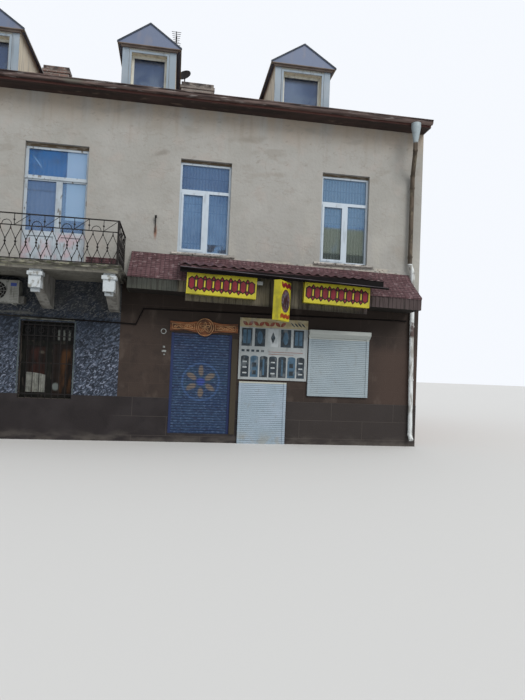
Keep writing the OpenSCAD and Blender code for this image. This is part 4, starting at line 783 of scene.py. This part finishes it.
# Barred windows: dim old painted windows behind iron bars, a thin pale line of render round
# them, things stored behind the glass and a scrap of net curtain in one corner.
outer_frames = fade(-4.8, -4.82, "y")
finish("barred_paint", "131412", [
    clouds(0.3, "1f1f1b", 0.8, 141, 0.4, 0.62),
    specks("45403a", 0.6, 12, 4, 0.56, 0.68, 144),
    coat("5e605b", 1.0, outer_frames),
    coat("33332f", 0.8, outer_frames, grain((6, 6, 20), 0.46, 0.58, 146)),
], roughness=0.7, shine=0.15, on="barred_windows")
dim_glass = finish("dim_glass", "14110f", [
    clouds(0.35, "231b17", 0.8, 149, 0.4, 0.62),
    coat("080808", 0.9, fade(2.05, 2.3)),
    coat("38201b", 0.9, area(-2.16, 1.05, -1.55, 2.1, 0.16, y0=-4.8), grain((5, 5, 2.5), 0.36, 0.6, 142)),
    coat("4f4a42", 0.8, spot((-1.84, -4.62, 1.92), (14, 0.2, 22), ragged=0.9, edge=0.6)),
    coat("4c321c", 0.95, area(-1.5, 0.95, -1.1, 2.05, 0.14, y0=-4.8), grain((9, 9, 1.5), 0.38, 0.6, 143)),
    coat("6f7775", 0.8, spot((-1.52, -4.62, 1.16), (11, 0.2, 9), ragged=0.9, edge=0.5)),
    coat("7c807b", 0.7, area(-1.62, 2.18, -1.14, 2.46, 0.05, y0=-4.8), bands(0.115, 0.5, 0.7, "x")),
    coat("4a2a1f", 0.8, area(-5.4, 1.2, -4.6, 2.0, 0.08, y0=-4.8), grain((5, 5, 2), 0.4, 0.58, 145)),
], roughness=0.2, shine=0.12)


def light_films(name, windows, width, y, toward, material):
    """Films of glass on the three panes of each window, given by centre, foot, head and cross bar."""
    half = width / 2
    y0, y1 = sorted((y, y + 0.002 * toward))
    films = []
    for centre, foot, head, bar in windows:
        films += [((centre - half + 0.046, y0, bar + 0.036), (centre + half - 0.046, y1, head - 0.046)),
                  ((centre - half + 0.098, y0, foot + 0.098), (centre - 0.053, y1, bar - 0.088)),
                  ((centre + 0.096, y0, foot + 0.046), (centre + half - 0.046, y1, bar - 0.036))]
    boxes(name, films, material, "pane")


barred_centres = (-5.02, -1.705)
light_films("barred_panes", [(x, 0.9, 2.6, 2.15) for x in barred_centres], 1.14, -4.615, -1, dim_glass)
net_x, net_w, net_z, net_h = -2.13, 0.4, 1.47, 0.44


def on_net(u, v):
    return (net_x + net_w * u,
            -4.7 + (0.012 + 0.01 * v) * math.sin(2 * math.pi * 8 * u + 0.6 * math.sin(9 * u)),
            net_z - 0.05 * u * u * (1 - v) - net_h * v)


net_cloth = finish("net_cloth", "7e807a", [clouds(0.1, "565853", 0.7, 147)], roughness=0.95)
net_scrap = build("net_curtain_scrap", *folded(40, 10, on_net), net_cloth, "white_frame", smooth=True)
surround_line = finish("surround_line", "4e5759", [
    clouds(0.3, "3a4245", 0.8, 148, height=0.001)], roughness=0.85, shine=0.3)
boxes("barred_window_surrounds", [
    ((edge - 0.014, -4.836, 0.98), (edge + 0.014, -4.828, 2.63))
    for centre in barred_centres for edge in (centre - 0.59, centre + 0.59)], surround_line, "cream_plaster")


# Roller shutters: a blue one of pressed slats over the shop door, its paint scuffed and
# speckled, with a worn painted ring of leaves, and white ones over the low hatch and the shop window.
# The dark lines between the slats are painted shade, and the pale dashes on the blue slats painted glints.
shutter_lo, shutter_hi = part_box("door_shutter")
blue_pitch, blue_slide = 0.06027, 0.03135
ring_x, ring_y, ring_z, ring_r = (shutter_lo.x + shutter_hi.x) / 2 + 0.01, -4.85, 1.39, 0.245
ring_leaves = [
    coat("6e6152", 0.75, spot((ring_x + ring_r * math.sin(lean), ring_y, ring_z + ring_r * math.cos(lean)),
                              (13, 0.2, 6.5), edge=0.45, ragged=0.9, turn=-lean))
    for lean in spread(0, math.pi * 5 / 3, 6)]
finish("blue_slats", "1c3151", [
    clouds(0.5, "273c58", 0.8, 151, 0.4),
    coat("39364f", 0.6, fade(1.9, 2.4), grain((2, 2, 6), 0.4, 0.62, 149)),
    coat("2c4f55", 0.5, area(0.9, 0.9, 2.5, 1.9, 0.4), grain((3, 3, 8), 0.42, 0.6, 150)),
    # Pale dashes along the slats: painted glints on their perforations.
    specks("4a5f7b", 0.6, 15, 30, 0.52, 0.62, 152),
    specks("1a2440", 0.8, 12, 26, 0.53, 0.63, 153),
    coat("3d5a86", 0.55, spot((ring_x, ring_y, ring_z), (2.2, 0.2, 2.2), inner=0.9, edge=0.04, ragged=0.1)),
    coat("2f3f8a", 0.8, spot((ring_x, ring_y, ring_z), (8, 0.2, 8), edge=0.5, ragged=0.6)),
    *ring_leaves,
    # Dark lines at the slat joints: painted shade between the slats.
    coat("101a2e", 0.75, bands(blue_pitch, 0.62, 0.86, slide=blue_slide)),
    coat("16234a", 1.0, area(shutter_hi.x - 0.062, 0.1, shutter_hi.x + 0.1, 3, 0.002)),
    coat("1a2a52", 1.0, area(shutter_lo.x - 0.1, 0.1, shutter_lo.x + 0.062, 3, 0.002)),
    relief(0.001, 40, 154),
], roughness=0.55, shine=0.3, on="door_shutter")


def white_shutter(name, on, colour, shadow, pitch, slide, top, lip, seed):
    finish(name, colour, [
        clouds(0.6, shadow, 0.6, seed, 0.42, 0.64),
        # Dark lines at the slat joints: painted shade between the slats.
        coat("5f686c", 0.75, bands(pitch, 0.66, 0.92, slide=slide), fade(top, top - 0.01),
             grain((3, 3, 9), 0.25, 0.5, seed + 1)),
        specks("7a7f80", 0.4, 9, 5, 0.56, 0.7, seed + 2),
        coat("8b8b84", 0.6, fade(0.4, 0.05), grain(4, 0.4, 0.6, seed + 3)),
        coat(lip, 1.0, fade(top, top + 0.01)),
    ], roughness=0.5, on=on)


white_shutter("hatch_slats", "hatch_shutter", "8c9daa", "97a5b4", 0.045667, 0.021333, 1.4, "a9aaa0", 155)
white_shutter("window_slats", "window_shutter", "909da4", "8997a0", 0.045448, 0.0071, 2.5, "a5aaa6", 160)


# Board over the door: a shaped and oiled pine board with a raised rim and a round boss,
# with a carved line inside the rim, a row of leaves on both arms and five leaves in the boss.
finish("oiled_board", "6c4024", [
    coat("8d5733", 0.8, grain((1.5, 14, 14), 0.42, 0.62, 161)),
    coat("3d2314", 0.8, grain((3, 20, 26), 0.52, 0.64, 162)),
    coat("2c2019", 0.7, grain((2, 9, 9), 0.52, 0.62, 164)),
    coat("352e22", 1.0, fade(2.43, 2.42)),
    relief(0.001, (4, 60, 60), 163),
], roughness=0.6, shine=0.3, on="door_board")


def plates(name, outlines, place, thick, material, slot):
    """Thin flat plates on a face, each drawn by its outline, across and up, going round to the left."""
    verts, faces = [], []
    for outline in outlines:
        n, a = len(outline), len(verts)
        verts += [place(u, v, 0.0) for u, v in outline] + [place(u, v, thick) for u, v in outline]
        faces += [tuple(range(a + n, a + 2 * n)), tuple(reversed(range(a, a + n)))]
        faces += [(a + i, a + (i + 1) % n, a + n + (i + 1) % n, a + n + i) for i in range(n)]
    return build(name, verts, faces, material, slot)


def beads(name, paths, place, half, thick, material, slot):
    """Raised lines on a face: each path is a list of places and whether it closes on itself."""
    verts, faces = [], []
    for path, closed in paths:
        n, a = len(path), len(verts)
        for i, (u, v) in enumerate(path):
            before = path[i - 1] if closed or i else path[0]
            after = path[(i + 1) % n] if closed or i < n - 1 else path[-1]
            du, dv = after[0] - before[0], after[1] - before[1]
            length = math.hypot(du, dv)
            du, dv = du / length * half, dv / length * half
            verts += [place(u + dv, v - du, 0.0), place(u + dv, v - du, thick),
                      place(u - dv, v + du, thick), place(u - dv, v + du, 0.0)]
        for i in range(n if closed else n - 1):
            j = (i + 1) % n
            faces += [(a + 4 * i + k, a + 4 * j + k, a + 4 * j + (k + 1) % 4, a + 4 * i + (k + 1) % 4)
                      for k in range(4)]
        if not closed:
            faces += [(a, a + 1, a + 2, a + 3), (a + 4 * n - 1, a + 4 * n - 2, a + 4 * n - 3, a + 4 * n - 4)]
    return build(name, verts, faces, material, slot)


def oval(u, v, half_u, half_v, steps=24):
    return [(u + half_u * math.cos(2 * math.pi * k / steps), v + half_v * math.sin(2 * math.pi * k / steps))
            for k in range(steps)]


def leaf(u, v, length, width, lean, steps=8):
    """Pointed leaf about its middle, leaning from upright to the right."""
    side = [(width / 2 * math.sin(math.pi * k / steps), length * (k / steps - 0.5)) for k in range(steps + 1)]
    loop = side + [(-a, b) for a, b in reversed(side[1:-1])]
    return [(u + a * math.cos(lean) + b * math.sin(lean), v - a * math.sin(lean) + b * math.cos(lean))
            for a, b in loop]


def facing(y, x=0.0, z=0.0):
    """Places on a plane that faces the street, measured from a point of it."""
    return lambda u, v, out: (x + u, y - out, z + v)


def lifted(place, rise):
    return lambda u, v, out: place(u, v, out + rise)


def leaf_row(count, u, step, v, length, width, lean, other_lean):
    return [leaf(u + step * k, v, length, width, other_lean if k % 2 else lean) for k in range(count)]


board_x0, board_x1, boss_x, boss_z = 0.967, 2.519, 1.757, 2.648
on_board = facing(-4.854, boss_x, boss_z)
carved_light = finish("carved_light", "b58c60", [clouds(0.1, "7e5b38", 0.8, 165)], roughness=0.6)


def board_half(u):
    """Half height of the board at a distance from its boss."""
    return 0.092 + 0.062 * math.cos(math.pi / 2 * min(1, u / 0.42)) ** 2 + 0.018 * (u / 0.78) ** 4


carved_lines = []
for u0, u1 in ((board_x0 - boss_x + 0.05, -0.24), (0.24, board_x1 - boss_x - 0.05)):
    us = spread(u0, u1, 11)
    carved_lines.append(([(u, 0.045 - board_half(abs(u))) for u in us]
                         + [(u, board_half(abs(u)) - 0.045) for u in reversed(us)], True))
    carved_lines += [(outline, True) for outline in leaf_row(
        4, u0 + 0.17 * (u1 - u0), 0.22 * (u1 - u0), 0, 0.1, 0.042, 1.2, 1.9)]
beads("board_carving", carved_lines, on_board, 0.006, 0.005, carved_light, "carved_wood")
beads("boss_carving", [(oval(0, 0, 0.15, 0.15), True), (oval(0, 0, 0.196, 0.196, 32), True)]
      + [(leaf(0.066 * math.sin(t), 0.066 * math.cos(t), 0.12, 0.05, t), True)
         for t in spread(0, 1.6 * math.pi, 5)],
      lambda u, v, out: on_board(u, v, out + 0.004 + (0.014 if math.hypot(u, v) > 0.18 else 0)),
      0.006, 0.005, carved_light, "carved_wood")


# Poster: a printed panel in a frame, faded by the sun, with a band of red leaves over two
# rows of dark door pictures. The pictures are thin films laid on the panel.
poster_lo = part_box("poster_panel")[0]
head_band = fade(2.7, 2.72)
finish("poster_print", "9aa0a2", [
    clouds(0.5, "8d9394", 0.7, 171, 0.42, 0.64),
    coat("a1987a", 1.0, head_band),
    coat("85764f", 0.6, head_band, grain((6, 6, 9), 0.46, 0.62, 173)),
    specks("6c7070", 0.5, 8, 5, 0.54, 0.68, 172),
], roughness=0.55, on="poster_panel")


def film(name, colour, shade, seed):
    return finish(name, colour, [
        clouds(0.12, shade, 0.8, seed),
        specks("8b9193", 0.35, 9, 4, 0.54, 0.68, seed + 1)], roughness=0.55)


print_dark = film("print_dark", "131f27", "22333f", 174)
print_blue = film("print_blue", "3a586e", "274355", 176)
print_pale = film("print_pale", "a9afb2", "8d9598", 178)
print_red = film("print_red", "7c3626", "63351f", 180)
film_t = 0.0012
on_poster = facing(-4.85, poster_lo.x, poster_lo.z)


def slab(u0, v0, u1, v1):
    return [(u0, v0), (u1, v0), (u1, v1), (u0, v1)]


dark_doors, blue_doors, pale_doors, blue_panes, dark_panes, pale_stripes = [], [], [], [], [], []
upper_foot, upper_head, lower_foot, lower_head = 0.78, 1.2, 0.06, 0.52
for k in range(5):
    u0, u1 = 0.052 + k * 0.309, 0.3 + k * 0.309
    middle = (u0 + u1) / 2
    (pale_doors if k == 2 else dark_doors).append(slab(u0, upper_foot, u1, upper_head))
    if k == 2:
        dark_panes.append([(middle, 0.85), (middle + 0.055, 0.99), (middle, 1.13), (middle - 0.055, 0.99)])
    elif k in (0, 4):
        blue_panes += [slab(u0 + 0.035, upper_foot + 0.06, middle - 0.012, upper_head - 0.04),
                       slab(middle + 0.012, upper_foot + 0.06, u1 - 0.035, upper_head - 0.04)]
    else:
        blue_panes.append(oval(middle, (upper_foot + upper_head) / 2, 0.062, 0.15, 16))
for k in range(7):
    u0, u1 = 0.052 + k * 0.222, 0.24 + k * 0.222
    middle = (u0 + u1) / 2
    arch = [(middle + (u1 - u0) / 2 * math.cos(t), lower_head + 0.04 * math.sin(t))
            for t in spread(0, math.pi, 9)]
    (blue_doors if k in (1, 5) else dark_doors).append([(u0, lower_foot), (u1, lower_foot)] + arch)
    if k in (1, 5):
        dark_panes += [slab(u0 + 0.045, z, u1 - 0.045, z + 0.1) for z in (0.12, 0.3)]
    elif k % 3 == 0:
        pale_stripes += [slab(u0 + 0.045, z, u1 - 0.045, z + 0.03) for z in (0.14, 0.27, 0.4)]
    else:
        blue_panes.append(slab(middle - 0.02, 0.11, middle + 0.02, lower_head - 0.03))
short_marks = [slab(0.06 + 0.115 * k, 0.635, 0.13 + 0.115 * k, 0.7) for k in range(5)]
red_marks = leaf_row(8, 0.13, 0.128, 1.31, 0.16, 0.085, -0.9, 0.9)
red_marks += [slab(0.7, 0.655, 1.52, 0.666), slab(0.7, 0.6, 1.3, 0.611)]
hem_marks = leaf_row(4, 1.26, 0.085, 1.32, 0.15, 0.035, -0.8, -0.8)
for name, outlines, rise, thick, paint in (
        ("dark_doors", dark_doors + short_marks + hem_marks, 0, film_t, print_dark),
        ("blue_doors", blue_doors, 0, film_t, print_blue), ("pale_doors", pale_doors, 0, film_t, print_pale),
        ("red_marks", red_marks, 0, film_t, print_red), ("blue_panes", blue_panes, film_t, 0.001, print_blue),
        ("pale_stripes", pale_stripes, film_t, 0.001, print_pale),
        ("dark_panes", dark_panes, film_t + 0.001, 0.001, print_dark)):
    plates("poster_" + name, outlines, lifted(on_poster, rise), thick, paint, "poster")


# Canopy: maroon tile-pressed sheet over ribbed grey sheets, with a waved awning raised
# on its middle, dusty and chalked, and a thin gutter under the awning's edge.
# The awning's lower front is painted near black as the shadow under its waves.
def tile_sheet(name, on, colour, pale, dark, seed):
    finish(name, colour, [
        clouds(0.7, pale, 0.6, seed),
        coat(pale, 0.7, bands(0.052, 0.45, 0.75), grain((7, 3, 3), 0.42, 0.56, seed + 1)),
        coat(dark, 0.85, bands(0.052, 0.5, 0.8, slide=0.026), grain((9, 3, 3), 0.4, 0.54, seed + 2),
             height=-0.003),
        coat(dark, 0.6, bands(0.098, 0.6, 0.9, "x"), height=-0.003),
        coat("8f7f80", 0.5, grain(12, 0.56, 0.66, seed + 3)),
        relief(0.001, 30, seed + 4),
    ], roughness=0.65, shine=0.3, on=on)


tile_sheet("maroon_sheet", "canopy_roof", "4b3134", "634a4e", "2f1b1f", 181)
finish("waved_sheet", "4a2d31", [
    clouds(0.7, "5d4145", 0.8, 224),
    coat("7b6265", 0.6, grain(7, 0.52, 0.66, 225)),
    coat("241417", 0.8, grain((5, 9, 9), 0.5, 0.62, 226)),
    # Near black on the lower front: painted shadow under the waves.
    coat("0b0708", 1.0, fade(3.84, 3.8), fade(-5.92, -5.93, "y"), roughness=0.95),
    relief(0.001, 30, 227),
], roughness=0.65, shine=0.3, on="raised_awning")
tile_sheet("planter_sheet", "balcony_box", "3f2427", "55363a", "281619", 231)
left_part = fade(1.15, 1.05, "x")
finish("ribbed_sheet", "555043", [
    clouds(0.5, "635d4d", 0.7, 185),
    coat("383a36", 1.0, left_part),
    coat("44463f", 0.6, left_part, grain((1.2, 4, 6), 0.42, 0.62, 188)),
    coat("43383a", 0.9, fade(4.9, 5.3, "x")),
    specks("221e1b", 0.7, 14, 1.5, 0.5, 0.66, 186),
    coat("1f1c19", 0.8, fade(1.1, 1.3, "x"), fade(3.2, 3.08)),
], roughness=0.7, shine=0.25, on="canopy_fascia")
finish("soffit_sheet", "211e1b", [
    clouds(0.5, "2c2825", 0.7, 187)], roughness=0.85, shine=0.2, on="canopy_soffit")


# Signs: yellow sheet boxes, sun-faded, screwed to the ribbed sheet, with raised dark-red
# studs edged in black. The hanging one has a dark picture on its broad side.
finish("sign_yellow", "b5ab1f", [
    clouds(0.4, "a39a22", 0.7, 191),
    specks("6e6a30", 0.5, 8, 4, 0.58, 0.7, 192),
    coat("8a8420", 0.7, grain(3, 0.5, 0.66, 193)),
], roughness=0.45, on="shop_signs hanging_sign")
sign_edge = finish("sign_edge", "1f0a0b", [clouds(0.1, "321012", 0.7, 194, 0.4, 0.6)],
                   roughness=0.6, shine=0.3)
sign_red = finish("sign_red", "640e1b", [clouds(0.1, "7c1829", 0.7, 195, 0.4, 0.6)],
                  roughness=0.5, shine=0.3)
canopy_x, canopy_turn_z = 3.34775, 3.59
sag, own_sag = math.radians(1), math.radians(0.7)


def on_canopy(u, y, z):
    """A place measured along the canopy, which sags to its right end."""
    rise = z - canopy_turn_z
    return (canopy_x + u * math.cos(sag) + rise * math.sin(sag), y,
            canopy_turn_z - u * math.sin(sag) + rise * math.cos(sag))


gutter_rim = finish("gutter_rim", "5a555c", [clouds(0.5, "2e2a2d", 0.9, 68, 0.4, 0.6)], roughness=0.6)
beads("awning_gutter_rim", [([(-2.228, 3.787), (2.368, 3.687)], False)],
      lambda u, v, out: on_canopy(u, -6.03 - out, v), 0.005, 0.006, gutter_rim, "gutter_metal")


def on_sign(middle):
    def place(u, v, out):
        return on_canopy(middle + u * math.cos(own_sag) + v * math.sin(own_sag), -5.834 - out,
                         3.476 - u * math.sin(own_sag) + v * math.cos(own_sag))
    return place


def sign_shapes(grow):
    """A row of tall six-sided studs with a pair of small lozenges in each gap."""
    shapes = []
    half_w, half_h, shoulder = 0.05 + grow, 0.124 + grow, 0.62 * (0.124 + grow)
    for k in range(8):
        u = -0.644 + k * 0.184
        shapes.append([(u - half_w, -shoulder), (u, -half_h), (u + half_w, -shoulder),
                       (u + half_w, shoulder), (u, half_h), (u - half_w, shoulder)])
        gap = u + 0.092
        if k < 7:
            shapes += [[(gap, v - 0.034 - grow), (gap + 0.024 + grow, v), (gap, v + 0.034 + grow),
                        (gap - 0.024 - grow, v)] for v in (-0.125, 0.125)]
    return shapes


for number, middle in ((1, -1.3219), (2, 1.2455)):
    place = on_sign(middle)
    plates(f"sign_{number}_edges", sign_shapes(0.027), place, 0.002, sign_edge, "yellow_sign")
    plates(f"sign_{number}_studs", sign_shapes(0.0), lifted(place, 0.002), 0.004, sign_red, "yellow_sign")
blade_turn = math.radians(-38)
blade_x, blade_y = 0.1854, -5.68


def on_blade(u, v, out):
    """A place on the hanging sign's broad side, across from its outer edge and up from its foot."""
    x, y = 0.075 + out, -0.585 + u
    return on_canopy(blade_x + x * math.cos(blade_turn) - y * math.sin(blade_turn),
                     blade_y + x * math.sin(blade_turn) + y * math.cos(blade_turn), 2.8 + v)


blade_grey = finish("blade_grey", "33272a", [
    clouds(0.1, "52262c", 0.8, 196, 0.42, 0.58), clouds(0.06, "5b5662", 0.8, 197, 0.46, 0.6)],
    roughness=0.6, shine=0.3)
blade_orange = finish("blade_orange", "8e3d14", [clouds(0.06, "77230f", 0.8, 199, 0.42, 0.6)],
                      roughness=0.5, shine=0.3)
plates("blade_picture", [oval(0.29, 0.43, 0.2, 0.25)], on_blade, 0.002, blade_grey, "yellow_sign")
plates("blade_picture_leaves", [leaf(0.22 + 0.07 * k, 0.41, 0.3, 0.05, 0.25 - 0.25 * k) for k in range(3)],
       lifted(on_blade, 0.002), 0.002, sign_edge, "yellow_sign")
for name, v, length, lean, paint in (("red", 0.765, 0.15, -0.5, sign_red),
                                     ("orange", 0.1, 0.13, 0.5, blade_orange)):
    plates(f"blade_{name}_shapes", leaf_row(5, 0.12, 0.085, v, length, 0.085, lean, -lean), on_blade, 0.003,
           paint, "yellow_sign")


# Small fittings on the front: a bent iron hook under the render's rust run, a lamp over the
# right end of the first sign, a bell ring and small plates beside the door.
hook_x, hook_z = 0.525, 5.03
boxes("iron_hook", [((hook_x - 0.012, -4.86, hook_z - 0.02), (hook_x + 0.012, -4.79, hook_z + 0.1)),
                    ((hook_x - 0.02, -4.88, hook_z + 0.06), (hook_x + 0.03, -4.855, hook_z + 0.12)),
                    ((hook_x - 0.009, -4.83, hook_z - 0.26), (hook_x + 0.009, -4.81, hook_z - 0.02))],
      wrought_iron, "rusty_iron")
fitting_white = finish("fitting_white", "8d918f", [clouds(0.05, "5d605d", 0.7, 198)], roughness=0.5)
lamp_x, lamp_y, lamp_z = on_canopy(-0.5, -5.74, 3.6)
boxes("sign_lamp", [((lamp_x - 0.07, lamp_y - 0.06, lamp_z - 0.04),
                     (lamp_x + 0.07, lamp_y + 0.03, lamp_z + 0.035))], fitting_white, "white_case")
beads("bell_ring", [(oval(0.822, 2.513, 0.055, 0.055, 20), True)],
      facing(-4.83), 0.009, 0.018, fitting_white, "white_case")
boxes("number_plates", [((0.82, -4.838, 2.14), (0.87, -4.83, 2.18)),
                        ((0.8, -4.842, 2.04), (0.9, -4.83, 2.085)),
                        ((0.84, -4.838, 1.97), (0.875, -4.83, 2.0))], fitting_white, "white_case")


# Outdoor unit of the air conditioner: a grimy white steel case with a dark fan opening,
# pressed louvre lines at its side and a plain blue patch.
finish("unit_case", "989994", [
    clouds(0.2, "84857f", 0.7, 201),
    specks("44423d", 0.7, 16, 4, 0.54, 0.66, 202),
    coat("55534d", 0.6, bands(0.035, 0.6, 0.85), area(-2.46, 3.0, -2.28, 3.26, 0.01, y0=-5.2, y1=-5.0)),
    coat("0f0e0d", 1.0, spot((-2.715, -5.06, 3.2), (5, 0.02, 5), edge=0.02, ragged=0.0),
         fade(-5.115, -5.09, "y")),
    coat("4c4a45", 0.8, fade(-2.27, -2.255, "x")),
], roughness=0.5, shine=0.3, on="air_conditioner")
patch_blue = finish("patch_blue", "2f4390", [clouds(0.05, "3f539c", 0.6, 203, 0.4, 0.6)], roughness=0.4)
plates("unit_patch", [slab(-2.435, 3.3, -2.315, 3.37)],
       facing(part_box("air_conditioner")[0].y + 0.001), 0.002, patch_blue, "white_case")


# Planter on the balcony: dry earth nearly to the rim of its sheet box, a little lumpy on top
# and plain where the box hides it.
soil = finish("planter_soil", "2e2822", [clouds(0.05, "463c30", 0.8, 221, 0.4, 0.6, height=0.01)],
              roughness=1.0, shine=0.1)
draw = random.Random(12)
wide, deep, earth_foot = 18, 7, 3.745
soil_verts, soil_faces = folded(wide, deep, lambda u, v: (
    -0.74 + 0.55 * u, -6.215 + 0.21 * v, 3.815 + draw.uniform(-0.008, 0.012)))
row = wide + 1
rim = [*range(wide), *range(wide, row * deep, row), *range(row * deep + wide, row * deep, -1),
       *range(row * deep, 0, -row)]
soil_faces = [(a, d, c, b) for a, b, c, d in soil_faces]
foot = len(soil_verts)
soil_verts += [(*soil_verts[k][:2], earth_foot) for k in rim]
around = range(len(rim))
soil_faces += [(rim[k], foot + k, foot + (k + 1) % len(rim), rim[(k + 1) % len(rim)]) for k in around]
soil_faces.append(tuple(foot + k for k in reversed(around)))
build("planter_soil", soil_verts, soil_faces, soil, "concrete")


# Back of the house: the same windows without curtains, and a plank door.
finish("plank_paint", "5a3d28", [
    specks("6d4d34", 0.8, 12, 0.8, 0.42, 0.62, 211),
    specks("39281b", 0.6, 6, 2, 0.54, 0.66, 212),
], roughness=0.6, on="back_door")
back_glass = finish("back_glass", "2b3d52", [
    clouds(0.7, "3d546e", 0.8, 213, 0.4, 0.62),
    specks("1b2430", 0.7, 2, 1.2, 0.52, 0.66, 214),
    relief(0.0008, 3, 215),
], roughness=0.08, shine=0.5)
light_films("back_panes", [(x, 4.365, 6.54, 5.822) for x in (-5.02, -1.7, 1.635, 5.02)]
            + [(x, 1.1, 2.6, 2.15) for x in (-5.02, -1.7, 5.02)], 1.185, 4.675, 1, back_glass)
